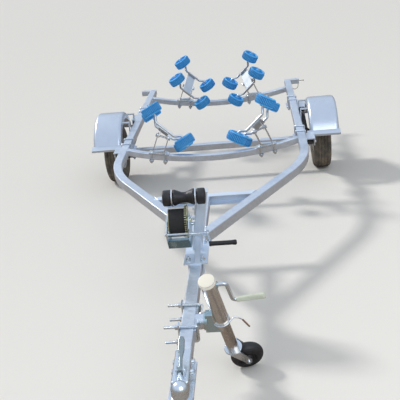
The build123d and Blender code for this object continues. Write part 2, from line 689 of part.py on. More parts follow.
def winch_post():
    """Square post leaning to the right, with its cap and the brace from the foot plate's front."""
    frame = post_axes()
    foot = FRAME_TOP + HANGER_PLATE
    length = (POST_TOP - foot) / math.cos(math.radians(POST_LEAN))
    post = extrude(frame.offset(-20) * box_section(POST, WALL, CORNER), length + 20)
    post += extrude(frame.offset(length) * RectangleRounded(POST, POST, CORNER), 3)
    front = POST_Y - POST / 2
    left = post_left(BRACE_TOP) + 8
    brace = make_face(Polyline((POST_PLATE[0] + 2, foot), (POST_PLATE[0] + 10, foot), (front, BRACE_TOP - 8),
                               (front, BRACE_TOP), close=True))
    post += extrude(Plane.YZ.offset(left) * brace, BRACE_WIDTH)
    return post - block(-CUT, CUT, POST_Y - CUT, POST_Y + CUT, 0, foot)


def post_clamp():
    """Foot plate of the post with its U-bolts round the drawbar."""
    half = POST_PLATE_HALF
    plate = block(-half, half, *POST_PLATE, FRAME_TOP, FRAME_TOP + HANGER_PLATE)
    low = FRAME_TOP - TUBE
    reach = TUBE / 2 + UBOLT + 0.3
    for y in (POST_PLATE[0] + 2 * POST_BOLT_INSET, POST_PLATE[1] - POST_BOLT_INSET):
        points = [(-reach, y, FRAME_TOP + 28), (-reach, y, low - UBOLT - 0.3),
                  (reach, y, low - UBOLT - 0.3), (reach, y, FRAME_TOP + 28)]
        plate += bent_rod(points, UBOLT, UBOLT * UBOLT_BEND)
        for x in (-reach, reach):
            plate += pin((x, y, FRAME_TOP + HANGER_PLATE - 1), (x, y, FRAME_TOP + HANGER_PLATE + 9), 9.0)
    return plate


def gear_face(teeth, module, bore):
    """Spur gear outline with straight-sided teeth round its pitch circle."""
    pitch = module * teeth / 2
    root = pitch - 1.15 * module
    tip = pitch + 0.85 * module
    step = 360 / teeth
    points = []
    for i in range(teeth):
        for radius, turn in ((root, -0.34), (tip, -0.13), (tip, 0.13), (root, 0.34)):
            angle = math.radians((i + turn) * step)
            points.append((radius * math.cos(angle), radius * math.sin(angle)))
    face = make_face(Polyline(*points, close=True))
    return face - Circle(bore) if bore else face


def pinion_centre():
    distance = GEAR_MODULE * (GEAR_TEETH + PINION_TEETH) / 2 + 0.5
    turn = math.radians(PINION_ANGLE)
    return WINCH_Y + distance * math.sin(turn), WINCH_Z - distance * math.cos(turn)


def winch_frame():
    """Folded winch frame: two cheeks, a floor and the cross rod, bolted to the post."""
    y, z = pinion_centre()
    front = WINCH_Y - 37
    back = POST_Y - POST / 2
    rod = (WINCH_Y + CROSS_ROD[0], WINCH_Z + CROSS_ROD[1])
    cheek = make_face(Polyline((front, WINCH_FLOOR), (rod[0] - 10, rod[1] - 10), (rod[0] - 10, rod[1] + 10),
                               (rod[0] + 12, rod[1] + 16), (WINCH_Y - 25, WINCH_Z + 24),
                               (WINCH_Y + 20, WINCH_Z + 24), (back - 6, z + 65), (back - 6, WINCH_FLOOR),
                               close=True))
    tab = make_face(Polyline((WINCH_Y, z + 10), (WINCH_Y, z + 60), (POST_Y + 12, z + 60),
                             (POST_Y + 12, z + 10), close=True))
    frame = None
    for x in (WINCH_LEFT, WINCH_RIGHT - WINCH_SHEET):
        plate = extrude(Plane.YZ.offset(x) * cheek, WINCH_SHEET)
        frame = plate if frame is None else frame + plate
    frame += extrude(Plane.YZ.offset(WINCH_RIGHT - WINCH_SHEET) * tab, WINCH_SHEET)
    frame += block(WINCH_LEFT, WINCH_RIGHT, front, back - 6, WINCH_FLOOR, WINCH_FLOOR + WINCH_SHEET)
    frame += block(WINCH_LEFT, WINCH_RIGHT, front, front + WINCH_SHEET, WINCH_FLOOR, WINCH_FLOOR + 34)
    frame += pin((WINCH_LEFT - 6, *rod), (WINCH_RIGHT + 6, *rod), 5.0)
    frame -= pin((WINCH_LEFT - 9, y, z), (WINCH_RIGHT + 9, y, z), SHAFT_RADIUS + RUNNING)
    frame -= pin((WINCH_LEFT - 9, WINCH_Y, WINCH_Z), (WINCH_RIGHT + 9, WINCH_Y, WINCH_Z),
                 SHAFT_RADIUS + RUNNING)
    post = post_solid()
    for bolt_z in (z + 22, z + 48):
        frame += pin((WINCH_RIGHT - 8, POST_Y, bolt_z), (10, POST_Y, bolt_z), 8.0) - post
    return frame


def drum_span():
    left = WINCH_LEFT + WINCH_SHEET + 5
    right = WINCH_RIGHT - WINCH_SHEET - GEAR_WIDTH - 5
    return left, right


def winch_drum():
    """Drum with its flange, the main gear and the shaft that runs in the cheeks."""
    left, right = drum_span()
    side = Plane.YZ.offset(right) * Pos(WINCH_Y, WINCH_Z)
    drum = extrude(side * Rot(0, 0, PINION_ANGLE - 90) * gear_face(GEAR_TEETH, GEAR_MODULE, 0), GEAR_WIDTH)
    drum += pin((left, WINCH_Y, WINCH_Z), (left + 3, WINCH_Y, WINCH_Z), FLANGE_RADIUS)
    drum += pin((left, WINCH_Y, WINCH_Z), (right + 1, WINCH_Y, WINCH_Z), DRUM_RADIUS)
    return drum + pin((WINCH_LEFT - 5, WINCH_Y, WINCH_Z), (WINCH_RIGHT + 5, WINCH_Y, WINCH_Z), SHAFT_RADIUS)


def winch_strap():
    """Webbing wound on the drum."""
    left, right = drum_span()
    return pin((left + 3, WINCH_Y, WINCH_Z), (right, WINCH_Y, WINCH_Z), STRAP_RADIUS, DRUM_RADIUS)


def winch_crank():
    """Pinion shaft with the crank arm and its grip, passing in front of the post."""
    y, z = pinion_centre()
    left, right = drum_span()
    side = Plane.YZ.offset(right - 1) * Pos(y, z)
    phase = 90 + 180 / PINION_TEETH
    crank = extrude(side * Rot(0, 0, PINION_ANGLE + phase) * gear_face(PINION_TEETH, GEAR_MODULE, 0),
                    GEAR_WIDTH + 2)
    crank += pin((WINCH_LEFT - 5, y, z), (HANDLE_X + 6, y, z), SHAFT_RADIUS)
    crank += pin((HANDLE_X - 4, y, z), (HANDLE_X + 10, y, z), 13.0)
    tip = (y + HANDLE_ARM[0], z + HANDLE_ARM[1])
    crank += bent_rod([(HANDLE_X, y, z), (HANDLE_TIP_X, *tip), (HANDLE_GRIP[0] + 20, *tip)], 7.0, 12.0)
    return crank + pin((HANDLE_GRIP[0], *tip), (HANDLE_GRIP[1], *tip), 9.0)


def bow_roller_bracket():
    """Two ears and a web behind the bow roller; the right ear runs down the post's left face."""
    x, y, z = BOW_CENTRE
    web_front = POST_Y - POST / 2 - 7
    low = z - BOW_RADIUS - 10
    ears = (x - BOW_HALF - BOW_EAR - 1, x + BOW_HALF + 1)
    outline = make_face(Polyline((y - 15, z + 12), (y + 15, z + 12), (web_front + 5, z - 22),
                                 (web_front + 5, low), (web_front, low), (y - 15, z - 18), close=True))
    bracket = block(ears[0], ears[1] + BOW_EAR, web_front, web_front + 5, low, low + 20)
    for ex in ears:
        bracket += extrude(Plane.YZ.offset(ex) * outline, BOW_EAR)
        bracket += pin((ex, y, z), (ex + BOW_EAR, y, z), BOW_RADIUS + 2)
    foot = low - 55
    left = (post_left(low - 8), post_left(foot))
    strap = make_face(Polyline((ears[1], low + 12), (ears[1] + BOW_EAR, low + 12), (left[0], low - 8),
                               (left[1], foot), (left[1] - BOW_EAR, foot), (left[0] - BOW_EAR, low - 8),
                               close=True))
    bracket += extrude(Plane.XZ.offset(-web_front) * strap, -45) - block(-CUT, CUT, web_front + 7, POST_Y + CUT,
                                                                        low - 8, z + 100)
    bracket -= pin((ears[0] - 5, y, z), (ears[1] + 15, y, z), BOW_SLEEVE + RUNNING)
    bolt_z = foot + 20
    bolt = pin((post_left(bolt_z) - 14, POST_Y, bolt_z), (post_left(bolt_z) + 20, POST_Y, bolt_z), 8.0)
    return bracket + (bolt - post_solid())


def bow_roller():
    """Waisted centre roller and two plain end rollers on one sleeve."""
    x, y, z = BOW_CENTRE
    ear = BOW_HALF + 1 + BOW_EAR + 1
    end = ear + BOW_END
    r = BOW_RADIUS
    half = [(BOW_WAIST, 8), (r, BOW_HALF - 4), (r - 4, BOW_HALF), (BOW_SLEEVE, BOW_HALF), (BOW_SLEEVE, ear),
            (r - 4, ear), (r, ear + 4), (r, end - 4), (r - 4, end), (0, end)]
    outline = Polyline(*[(a, -b) for a, b in reversed(half)], *half, close=True)
    return Pos(x, y, z) * Rot(0, 90, 0) * revolve(Plane.XZ * make_face(outline), Axis.Z)


def cradle_axes(station):
    """Level pivot frame of a right-hand cradle: X along the sloping bolt, Y to the rear."""
    y, sag, (x, z), tilt, rod_slope, axle_turn = station
    slope = math.radians(CRADLE_SLOPE)
    return Plane(origin=(x, y, z), x_dir=(math.cos(slope), 0, math.sin(slope)),
                 z_dir=(-math.sin(slope), 0, math.cos(slope)))


def rod_axes(station):
    """Frame of the tipped rods: X along them, Z away from the pivot."""
    y, sag, pivot, tilt, rod_slope, axle_turn = station
    tipped = cradle_axes(station).location * Rot(tilt, 0, 0)
    return tipped * Rot(0, -rod_slope, 0)


def axle_direction(station):
    """Direction of the rods' bent ends in the rods' frame, towards the outer end."""
    lift, turn = (math.radians(angle) for angle in station[5])
    return Vector(math.cos(lift) * math.cos(turn), math.sin(turn), math.sin(lift) * math.cos(turn))


def rod_knee(end, side):
    """Where a rod bends into its axle end."""
    return Vector(ROD_OFFSET + end * ROD_KNEE, side * ROD_SPACING / 2, ROD_HEIGHT + ROD_JOG)


def cradle_stand(station):
    """Saddle and post clamped on the crossmember, with the stirrup that holds the pivot bolt."""
    y, sag, (px, pz), tilt, rod_slope, axle_turn = station
    slope = math.radians(CRADLE_SLOPE)
    foot = px + STIRRUP_DROP * math.tan(slope)
    seat = bow_frame(y, sag, foot)
    half = CROSS_TUBE / 2
    base_z = pz - STIRRUP_DROP
    saddle = block(-CLAMP_HALF - 20, CLAMP_HALF + 20, -30, 30, half, half + STRAP)
    for x in (-CLAMP_HALF, CLAMP_HALF):
        bend = half + STRAP + UBOLT - UBOLT_BITE
        reach = half + UBOLT + 0.5
        points = [(x, -reach, -half - 21), (x, -reach, bend), (x, reach, bend), (x, reach, -half - 21)]
        saddle += bent_rod(points, UBOLT, UBOLT * UBOLT_BEND)
        saddle += block(x - 14, x + 14, -reach - 12, reach + 12, -half - 6, -half - 0.3)
        for side in (-1, 1):
            saddle += pin((x, side * reach, -half - 5), (x, side * reach, -half - 15), 8.5)
    stand = seat.location * saddle
    post = block(foot - 25, foot + 25, y - 20, y + 20, pz - CUT, base_z)
    post -= block(foot - 21, foot + 21, y - 16, y + 16, pz - CUT, base_z - 4)
    tube = seat.location * block(-CUT, CUT, -60, 60, -CUT, half + STRAP / 2)
    stand += post - tube
    frame = cradle_axes(station)
    legs = None
    outer = STIRRUP_HALF + STRAP
    for x in (-outer, STIRRUP_HALF):
        leg = pin((x, 0, 0), (x + STRAP, 0, 0), 18.0)
        leg += block(x, x + STRAP, -18, 18, -140, 0)
        legs = leg if legs is None else legs + leg
    legs = frame.location * legs
    legs -= block(px - CUT, px + CUT, y - 50, y + 50, pz - 2 * CUT, base_z)
    stand += legs
    wide = outer / math.cos(slope)
    stand += block(foot - wide - 3, foot + wide + 3, y - 18, y + 18, base_z - 3, base_z + STRAP)
    ends = ((-outer - 10, 0, 0), (outer + 10, 0, 0))
    bolt = pin(*ends, PIVOT_BOLT)
    for x in (-outer - 9, outer + 1):
        bolt += pin((x, 0, 0), (x + 8, 0, 0), 10.0)
    return stand + frame.location * bolt - bow_sweep(y, sag, Rectangle(CROSS_TUBE + SEAT, CROSS_TUBE + SEAT))


def cradle_swing(station):
    """Two bent rods on a folded plate that rocks on the pivot bolt; the rod ends are roller axles."""
    rods = rod_axes(station)
    tip = axle_direction(station) * (ROLLER_GAP + ROLLER_WIDTH + 9)
    swing = None
    for side in (-1, 1):
        inner, outer = rod_knee(-1, side), rod_knee(1, side)
        down = Vector(ROD_JOG, 0, -ROD_JOG)
        up = Vector(-ROD_JOG, 0, -ROD_JOG)
        points = [tuple(v) for v in (inner - tip, inner, inner + down, outer + up, outer, outer + tip)]
        rod = bent_rod(points, ROD_RADIUS, ROD_BEND)
        swing = rod if swing is None else swing + rod
    reach = ROD_SPACING / 2 + 4
    plate_top = ROD_HEIGHT - ROD_RADIUS + 1.5
    swing += block(-18, 54, -reach, reach, plate_top - 4, plate_top)
    swing = rods * swing
    tipped = cradle_axes(station).location * Rot(station[3], 0, 0)
    inner = STIRRUP_HALF - 5
    above = rods * block(-CUT, CUT, -CUT, CUT, plate_top - 1, 2 * CUT)
    for x in (-inner, inner - 4):
        ear = pin((x, 0, 0), (x + 4, 0, 0), 14.0)
        ear += block(x, x + 4, -14, 14, 0, 70)
        swing += tipped * ear - above
    swing -= tipped * pin((-80, 0, 0), (80, 0, 0), PIVOT_BOLT + RUNNING)
    return swing


def hull_roller():
    """Ribbed hull roller about Z: rounded tread, hub and thin web."""
    half = ROLLER_WIDTH / 2
    r = ROLLER_RADIUS
    tread = FilletPolyline((r - 15, half), (r - 5, half), (r, half - 16), (r, -half + 16), (r - 5, -half),
                           (r - 15, -half), radius=6.0)
    inside = Polyline(tread @ 1, (r - 17, -6), (16, -6), (16, -half), (ROD_RADIUS + RUNNING, -half),
                      (ROD_RADIUS + RUNNING, half), (16, half), (16, 6), (r - 17, 6), tread @ 0)
    return revolve(Plane.XZ * make_face([tread, inside]), Axis.Z)


STATIONS = {
    "front": (FRONT_CROSS_Y, FRONT_SAG, FRONT_PIVOT, FRONT_TILT, FRONT_ROD_SLOPE, FRONT_AXLE_TURN),
    "rear": (REAR_CROSS_Y, REAR_SAG, REAR_PIVOT, REAR_TILT, REAR_ROD_SLOPE, REAR_AXLE_TURN),
}

# Each roller's place on its cradle: name, end of the rods, side of the cradle.
ROLLER_PLACES = (("outer_a", 1, -1), ("outer_b", 1, 1), ("inner_a", -1, -1), ("inner_b", -1, 1))


def roller_axes(station, end, side):
    """Right-hand roller's frame: Z along its axle, towards the outer end of the rods."""
    axle = axle_direction(station)
    centre = rod_knee(end, side) + axle * (end * (ROLLER_GAP + ROLLER_WIDTH / 2))
    return rod_axes(station) * axes_at(centre, tuple(axle), (0, 1, 0)).location


def build():
    """Every piece of the level trailer, by node name."""
    nodes = {
        "drawbar": drawbar(),
        "crossbar": crossbar(),
        "crossmember_front": crossmember(FRONT_CROSS_Y, FRONT_SAG),
        "crossmember_rear": crossmember(REAR_CROSS_Y, REAR_SAG),
        "axle_beam": axle_beam(),
        "coupler_body": coupler_body(),
        "coupler_handle": coupler_handle(),
        "jack_bracket": jack_bracket(),
        "jack_outer_tube": jack_outer_tube(),
        "jack_inner_tube": jack_inner_tube(),
        "jack_crank": jack_crank(),
        "jockey_fork": jockey_fork(),
        "jockey_wheel": jockey_wheel(),
        "winch_post": winch_post(),
        "winch_post_clamp": post_clamp(),
        "winch_frame": winch_frame(),
        "winch_drum": winch_drum(),
        "winch_strap": winch_strap(),
        "winch_crank": winch_crank(),
        "bow_roller_bracket": bow_roller_bracket(),
        "bow_roller": bow_roller(),
    }
    pairs = {
        "side_rail": side_rail(),
        "leaf_spring": leaf_spring(),
        "spring_hangers": spring_hangers(),
        "fender": fender() + fender_arms(),
        "lamp_socket": lamp_socket(),
        "tyre": tyre(),
        "road_wheel": road_wheel(),
    }
    roller = hull_roller()
    for place, station in STATIONS.items():
        pairs[f"cradle_stand_{place}"] = cradle_stand(station)
        pairs[f"cradle_swing_{place}"] = cradle_swing(station)
        for name, end, side in ROLLER_PLACES:
            pairs[f"hull_roller_{place}_{name}"] = roller_axes(station, end, side) * roller
    for name, shape in pairs.items():
        for side, piece in both(shape).items():
            nodes[f"{name}_{side}"] = piece
    return nodes


def park_location(nodes):
    """Nose-down tip about the road wheels' axis, then the move to the bottom centre."""
    tip = Pos(0, HUB_Y, TYRE_RADIUS) * Rot(NOSE_DOWN, 0, 0) * Pos(0, -HUB_Y, -TYRE_RADIUS)
    boxes = [(tip * shape).bounding_box() for shape in nodes.values()]
    low = [min(getattr(b.min, a) for b in boxes) for a in "XYZ"]
    high = [max(getattr(b.max, a) for b in boxes) for a in "XYZ"]
    return Pos(-(low[0] + high[0]) / 2, -(low[1] + high[1]) / 2, -low[2]) * tip


NODES = build()
PARK = park_location(NODES)

os.makedirs("parts", exist_ok=True)
for node, shape in NODES.items():
    export_step(PARK * shape, f"parts/{node}.step")
print(len(NODES), "nodes")
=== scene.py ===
# %% [markdown]
# # A small roller boat trailer
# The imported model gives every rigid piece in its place. This notebook dresses it: galvanised
# steel, zinc plate, rubber and webbing as materials, and the tyres, rollers, nuts, welds, grips
# and bent wires as new surfaces worked out with numpy. Each step says what the thing is on the
# real trailer and why it is made the way it is.

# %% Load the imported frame
import json

import bmesh
import bpy
import numpy as np
from mathutils import Matrix


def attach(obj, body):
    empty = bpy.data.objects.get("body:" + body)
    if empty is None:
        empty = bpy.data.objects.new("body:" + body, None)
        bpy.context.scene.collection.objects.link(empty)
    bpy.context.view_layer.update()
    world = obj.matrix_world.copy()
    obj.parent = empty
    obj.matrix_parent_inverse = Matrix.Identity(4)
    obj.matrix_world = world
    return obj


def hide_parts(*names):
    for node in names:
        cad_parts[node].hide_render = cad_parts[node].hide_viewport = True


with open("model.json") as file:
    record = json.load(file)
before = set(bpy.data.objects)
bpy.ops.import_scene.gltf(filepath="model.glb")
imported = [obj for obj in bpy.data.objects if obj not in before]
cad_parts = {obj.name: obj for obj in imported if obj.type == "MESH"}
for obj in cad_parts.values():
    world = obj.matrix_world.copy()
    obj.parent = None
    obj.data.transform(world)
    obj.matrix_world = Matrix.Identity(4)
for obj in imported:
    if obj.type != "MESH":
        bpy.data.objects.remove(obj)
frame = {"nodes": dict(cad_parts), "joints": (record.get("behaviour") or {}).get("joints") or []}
nodes = frame["nodes"]
joints = {joint["name"]: joint for joint in frame["joints"]}
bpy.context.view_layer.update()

# %% [markdown]
# ## One set of measurements
# The trailer was drawn level and then tipped nose down until its jockey wheel met the ground.
# Most places are known in the level drawing: X to the right, Y back from the towing ball, Z up,
# all in millimetres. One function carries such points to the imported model. It turns them about
# the road wheels' axis, whose place the frame's own joints give. The jack's collar and the winch
# drum's axis are needed by finishes and by pieces, so they are kept here.

# %% From the level drawing to the parked trailer
NOSE_DOWN = np.radians(2.19)
HUB = np.array([0.0, 3166.0, 205.0])
HUB_PARKED = np.array([0.0, *joints["road_wheel_right_spin"]["pos_m"][1:]])
TIP = np.array([[1, 0, 0],
                [0, np.cos(NOSE_DOWN), -np.sin(NOSE_DOWN)],
                [0, np.sin(NOSE_DOWN), np.cos(NOSE_DOWN)]])


def parked(points):
    """Level millimetres to parked metres: subtract the hub, turn by TIP, add the parked hub."""
    return (np.asarray(points, float) - HUB) @ TIP.T / 1000 + HUB_PARKED


JACK_COLLAR = np.array([121.0, 415.0, 385.0])
JACK_UP = np.array([-0.14, -0.42, 0.897])
JACK_UP /= np.linalg.norm(JACK_UP)
WINCH = np.array([0.0, 925.0, 572.0])
GEAR_LEFT = -29.4
print("towing ball at", parked([0, 0, 380]).round(3))

# %% [markdown]
# ## Camera
# The camera stands in front of the coupler, a little to its right and above head height, with a
# short telephoto lens. Its place and tilt were fitted to the level ground and to the trailer's
# own corners, so they are written as numbers: a place measured from the road wheels' axis, and
# the directions the picture's right and top edges point in.

# %% Camera
CAMERA_FROM_HUB = np.array([0.30127, -5.16520, 1.35895])
VIEW_RIGHT = np.array([0.993966, 0.057793, -0.093227])
VIEW_UP = np.array([0.069349, 0.327390, 0.942341])
LENS = 67.2

camera_data = bpy.data.cameras.new("camera")
camera_data.lens = LENS
camera_data.sensor_width = 36
camera_data.clip_end = 200
camera = bpy.data.objects.new("camera", camera_data)
bpy.context.scene.collection.objects.link(camera)
view_back = np.cross(VIEW_RIGHT, VIEW_UP)
placing = np.eye(4)
placing[:3, :3] = np.stack([VIEW_RIGHT, VIEW_UP, view_back], 1)
placing[:3, 3] = HUB_PARKED + CAMERA_FROM_HUB
camera.matrix_world = Matrix(placing.tolist())
bpy.context.scene.camera = camera
print("camera at", placing[:3, 3].round(3))

# %% [markdown]
# ## Floor and light
# The trailer stands on a plain pale floor. A soft sun high on the left rear side throws the
# shadows forward and to the right, and lights the whole floor evenly. A large weak lamp fills from
# the front. Bare metal is only as rich as what it mirrors, so mirror rays see a warm dark floor
# and a sky that brightens upwards, while the camera sees the plain pale studio.


# %% Floor, lamps and world
FLOOR_SEEN, FLOOR_MIRRORED = (0.70, 0.69, 0.67, 1), (0.26, 0.215, 0.185, 1)
HORIZON, ZENITH, SKY_SEEN = (0.34, 0.37, 0.39, 1), (0.86, 1.00, 1.24, 1), (0.80, 0.83, 0.86, 1)
SKY_LOW, SKY_HIGH = 0.02, 0.50


def mirrored_or_seen(tree, mirrored_colour, seen_colour):
    """Colour socket: the first for mirror rays, the second for every other ray."""
    path = tree.nodes.new("ShaderNodeLightPath")
    mix = tree.nodes.new("ShaderNodeMix")
    mix.data_type = "RGBA"
    tree.links.new(path.outputs["Is Glossy Ray"], mix.inputs[0])
    mix.inputs[6].default_value = seen_colour
    if isinstance(mirrored_colour, tuple):
        mix.inputs[7].default_value = mirrored_colour
    else:
        tree.links.new(mirrored_colour, mix.inputs[7])
    return mix.outputs[2]


def floor_material():
    """Matt floor, pale to the camera and warm dark in mirrors."""
    material = bpy.data.materials.new("pale_floor")
    material.use_nodes = True
    tree = material.node_tree
    shader = tree.nodes["Principled BSDF"]
    tree.links.new(mirrored_or_seen(tree, FLOOR_MIRRORED, FLOOR_SEEN), shader.inputs["Base Color"])
    shader.inputs["Roughness"].default_value = 0.9
    shader.inputs["Specular IOR Level"].default_value = 0.1
    return material


def sky_colour(tree):
    """Sky for mirrors: horizon to zenith as the upward part of the ray's direction goes from
    SKY_LOW to SKY_HIGH."""
    direction = tree.nodes.new("ShaderNodeTexCoord")
    split = tree.nodes.new("ShaderNodeSeparateXYZ")
    rise = tree.nodes.new("ShaderNodeMapRange")
    mix = tree.nodes.new("ShaderNodeMix")
    mix.data_type = "RGBA"
    tree.links.new(direction.outputs["Generated"], split.inputs[0])
    tree.links.new(split.outputs[2], rise.inputs[0])
    rise.inputs[1].default_value, rise.inputs[2].default_value = SKY_LOW, SKY_HIGH
    tree.links.new(rise.outputs[0], mix.inputs[0])
    mix.inputs[6].default_value, mix.inputs[7].default_value = HORIZON, ZENITH
    return mix.outputs[2]


FLOOR_HALF = 60.0
corners = [(x * FLOOR_HALF, y * FLOOR_HALF, 0) for x, y in ((-1, -1), (1, -1), (1, 1), (-1, 1))]
floor_mesh = bpy.data.meshes.new("floor")
floor_mesh.from_pydata(corners, [], [(0, 1, 2, 3)])
floor = bpy.data.objects.new("floor", floor_mesh)
floor.data.materials.append(floor_material())
bpy.context.scene.collection.objects.link(floor)


def lamp(name, kind, place, target, strength, colour, **settings):
    """Lamp of that kind at place, facing target."""
    data = bpy.data.lights.new(name, kind)
    data.energy, data.color = strength, colour
    for key, value in settings.items():
        setattr(data, key, value)
    item = bpy.data.objects.new(name, data)
    bpy.context.scene.collection.objects.link(item)
    out = np.array(place, float) - np.array(target, float)
    out /= np.linalg.norm(out)
    side = np.cross([0, 0, 1], out)
    side /= np.linalg.norm(side)
    turn = np.eye(4)
    turn[:3, :3] = np.stack([side, np.cross(out, side), out], 1)
    turn[:3, 3] = place
    item.matrix_world = Matrix(turn.tolist())


lamp("key", "SUN", (-6.0, 4.2, 6.5), (0, 0, 0.3), 2.1, (1.0, 0.97, 0.92), angle=np.radians(9))
lamp("fill", "AREA", (3.0, -6.5, 5.0), (0, 0, 0.3), 150, (0.94, 0.97, 1.0), size=5.0)

world = bpy.data.worlds.new("studio")
bpy.context.scene.world = world
world.use_nodes = True
sky = world.node_tree
sky.links.new(mirrored_or_seen(sky, sky_colour(sky), SKY_SEEN), sky.nodes["Background"].inputs["Color"])
sky.nodes["Background"].inputs["Strength"].default_value = 0.72
bpy.context.scene.view_settings.view_transform = "Standard"

# %% [markdown]
# ## Shader arithmetic
# Node trees are easier to read as formulas. A Wire wraps one node socket and overloads the
# operators, so that `0.4 + spots * 0.2` adds the Math nodes. A Finish is one material: its node
# method adds any other node from a type, settings and socket values.


# %% Wires and finishes
class Wire:
    """A socket that takes Python arithmetic; each operation adds one Math node."""

    def __init__(self, finish, socket):
        self.finish = finish
        self.socket = socket

    def math(self, operation, *values):
        return self.finish.node("ShaderNodeMath", {"operation": operation}, dict(enumerate(values)))

    def __add__(self, other):
        return self.math("ADD", self, other)

    def __sub__(self, other):
        return self.math("SUBTRACT", self, other)

    def __mul__(self, other):
        return self.math("MULTIPLY", self, other)

    def __rsub__(self, other):
        return self.math("SUBTRACT", other, self)

    __radd__ = __add__
    __rmul__ = __mul__

    def wave(self):
        """Sine of the value."""
        return self.math("SINE", self)

    def step(self, low, high):
        """0 at low to 1 at high, clamped, with a smooth start and end."""
        return self.finish.node("ShaderNodeMapRange", {"interpolation_type": "SMOOTHSTEP"},
                                {0: self, 1: low, 2: high})


class Finish:
    """One material and its node tree."""

    def __init__(self, name):
        self.material = bpy.data.materials.new(name)
        self.material.use_nodes = True
        self.tree = self.material.node_tree
        self.shader = self.tree.nodes["Principled BSDF"]

    def node(self, kind, settings=None, inputs=None, output=0):
        """Adds a node of that kind. Settings come first, then socket values or links."""
        made = self.tree.nodes.new(kind)
        for key, value in (settings or {}).items():
            setattr(made, key, value)
        for key, value in (inputs or {}).items():
            self.join(made.inputs[key], value)
        return Wire(self, made.outputs[output])

    def join(self, socket, value):
        """Links a Wire to the socket, or sets the socket's own value."""
        if isinstance(value, Wire):
            self.tree.links.new(value.socket, socket)
        else:
            socket.default_value = value

    def place(self):
        """Object coordinates, which are the trailer's metres as it stands parked."""
        return self.node("ShaderNodeTexCoord", output="Object")

    def split(self, vector):
        """The three numbers of a vector."""
        made = self.node("ShaderNodeSeparateXYZ", None, {0: vector})
        return [Wire(self, out) for out in made.socket.node.outputs]

    def stretched(self, vector, scale):
        """The vector times a scale for each axis."""
        return self.node("ShaderNodeVectorMath", {"operation": "MULTIPLY"}, {0: vector, 1: scale})

    def noise(self, vector, scale, detail, roughness):
        """Soft random value about 0.5; scale is spots per metre."""
        return self.node("ShaderNodeTexNoise", None,
                         {"Vector": vector, "Scale": scale, "Detail": detail, "Roughness": roughness})

    def cells(self, vector, scale):
        """A random colour for each Voronoi cell; scale is cells per metre."""
        return self.node("ShaderNodeTexVoronoi", None, {"Vector": vector, "Scale": scale}, "Color")

    def mixed(self, first, second, share):
        """Colour from first to second as share goes from 0 to 1."""
        return self.node("ShaderNodeMix", {"data_type": "RGBA"}, {0: share, 6: first, 7: second}, 2)

    def bump(self, height, distance, strength):
        """Normal of a surface raised by height times distance, in metres."""
        return self.node("ShaderNodeBump", None,
                         {"Height": height, "Distance": distance, "Strength": strength})

    def finished(self, **sockets):
        """Sets the shader's sockets by name, with spaces written as underscores."""
        for key, value in sockets.items():
            self.join(self.shader.inputs[key.replace("_", " ")], value)
        return self.material


def grey(level, tint=(1.0, 1.0, 1.0)):
    """A colour of that level, tinted."""
    return (level * tint[0], level * tint[1], level * tint[2], 1)


# %% [markdown]
# ## Hot-dip galvanised steel
# The frame, crossmembers, fenders and wheels are dipped in molten zinc. Zinc freezes in crystals
# a few millimetres to two centimetres across, the spangle, each a slightly different grey. Runs
# and dull patches cross it. Voronoi cells give the crystals, large noise the patches, and both
# change colour and roughness together. The crystals show on the frame, hardly on the smooth
# fender sheet. The post and the crossbar are duller and bluer, so they get a finish of their own.


# %% Galvanised finish
COOL, BLUISH = (0.91, 0.99, 1.09), (0.87, 0.99, 1.14)


def galvanised(name, light, dark, crystal, shine, spangled, metal=0.78, tint=COOL):
    """Grey from dark to light by crystals, patches and runs. crystal is their size in metres,
    spangled how much they show, metal how much of the surface mirrors."""
    finish = Finish(name)
    place = finish.place()
    shade = finish.split(finish.cells(place, 1 / crystal))[0]
    patches = finish.noise(place, 7.0, 4.0, 0.6)
    runs = finish.noise(finish.stretched(place, (30, 30, 4)), 1.0, 3.0, 0.55)
    grain = finish.noise(place, 900.0, 2.0, 0.6)
    share = ((shade - 0.5) * spangled + patches * 0.75 + runs * 0.35).step(0.25, 0.90)
    colour = finish.mixed(grey(dark, tint), grey(light, tint), share)
    rough = shine + (shade - 0.5) * spangled * 0.3 + (patches - 0.5) * 0.2 + (grain - 0.5) * 0.04
    height = runs * 0.5 + grain * (spangled * 0.12)
    return finish.finished(Base_Color=colour, Metallic=metal, Roughness=rough,
                           Normal=finish.bump(height, 0.0005, 0.35))


galvanised_frame = galvanised("galvanised_frame", 0.84, 0.73, 0.011, 0.36, 0.30)
galvanised_sheet = galvanised("galvanised_sheet", 0.76, 0.70, 0.016, 0.31, 0.06)
galvanised_post = galvanised("galvanised_post", 0.86, 0.79, 0.014, 0.38, 0.12, 0.50, BLUISH)
print("galvanised finishes made")

# %% [markdown]
# ## Bright zinc plate
# Small fittings are electroplated: a thin, smooth, bluish bright layer with faint clouds of
# yellow where it was passivated, and dull spots where hands and rain have been. The winch's drum
# is passivated yellow all over, with painted shade dark between the teeth of its gear. The winch
# frame's floor channel gets painted shade and a painted reflection, bluer and darker than the
# sheet above it, and the jack's arm a painted reflection, bluer and darker than the tube. Such
# a change within one CAD piece is a mask: a smooth step in height, or in distance from an axis.


# %% Zinc plate finish
# Edges of the masks below, which lay painted shade and painted reflection: the top of the winch channel, the
# gear's tooth circles and the jack tube's skin.
CHANNEL_TOP = 506.0
TOOTH_ROOT, TOOTH_TIP, MASK_EDGE = 0.0600, 0.0656, 0.0006
JACK_SKIN = 0.0305


def painted_shade_in_channel(finish, place):
    """1 in the winch frame's floor channel, which takes painted shade and reflection, 0 above it: a step in
    height.
    """
    top = float(parked([0.0, WINCH[1], CHANNEL_TOP])[2])
    return 1 - finish.split(place)[2].step(top - 0.006, top)


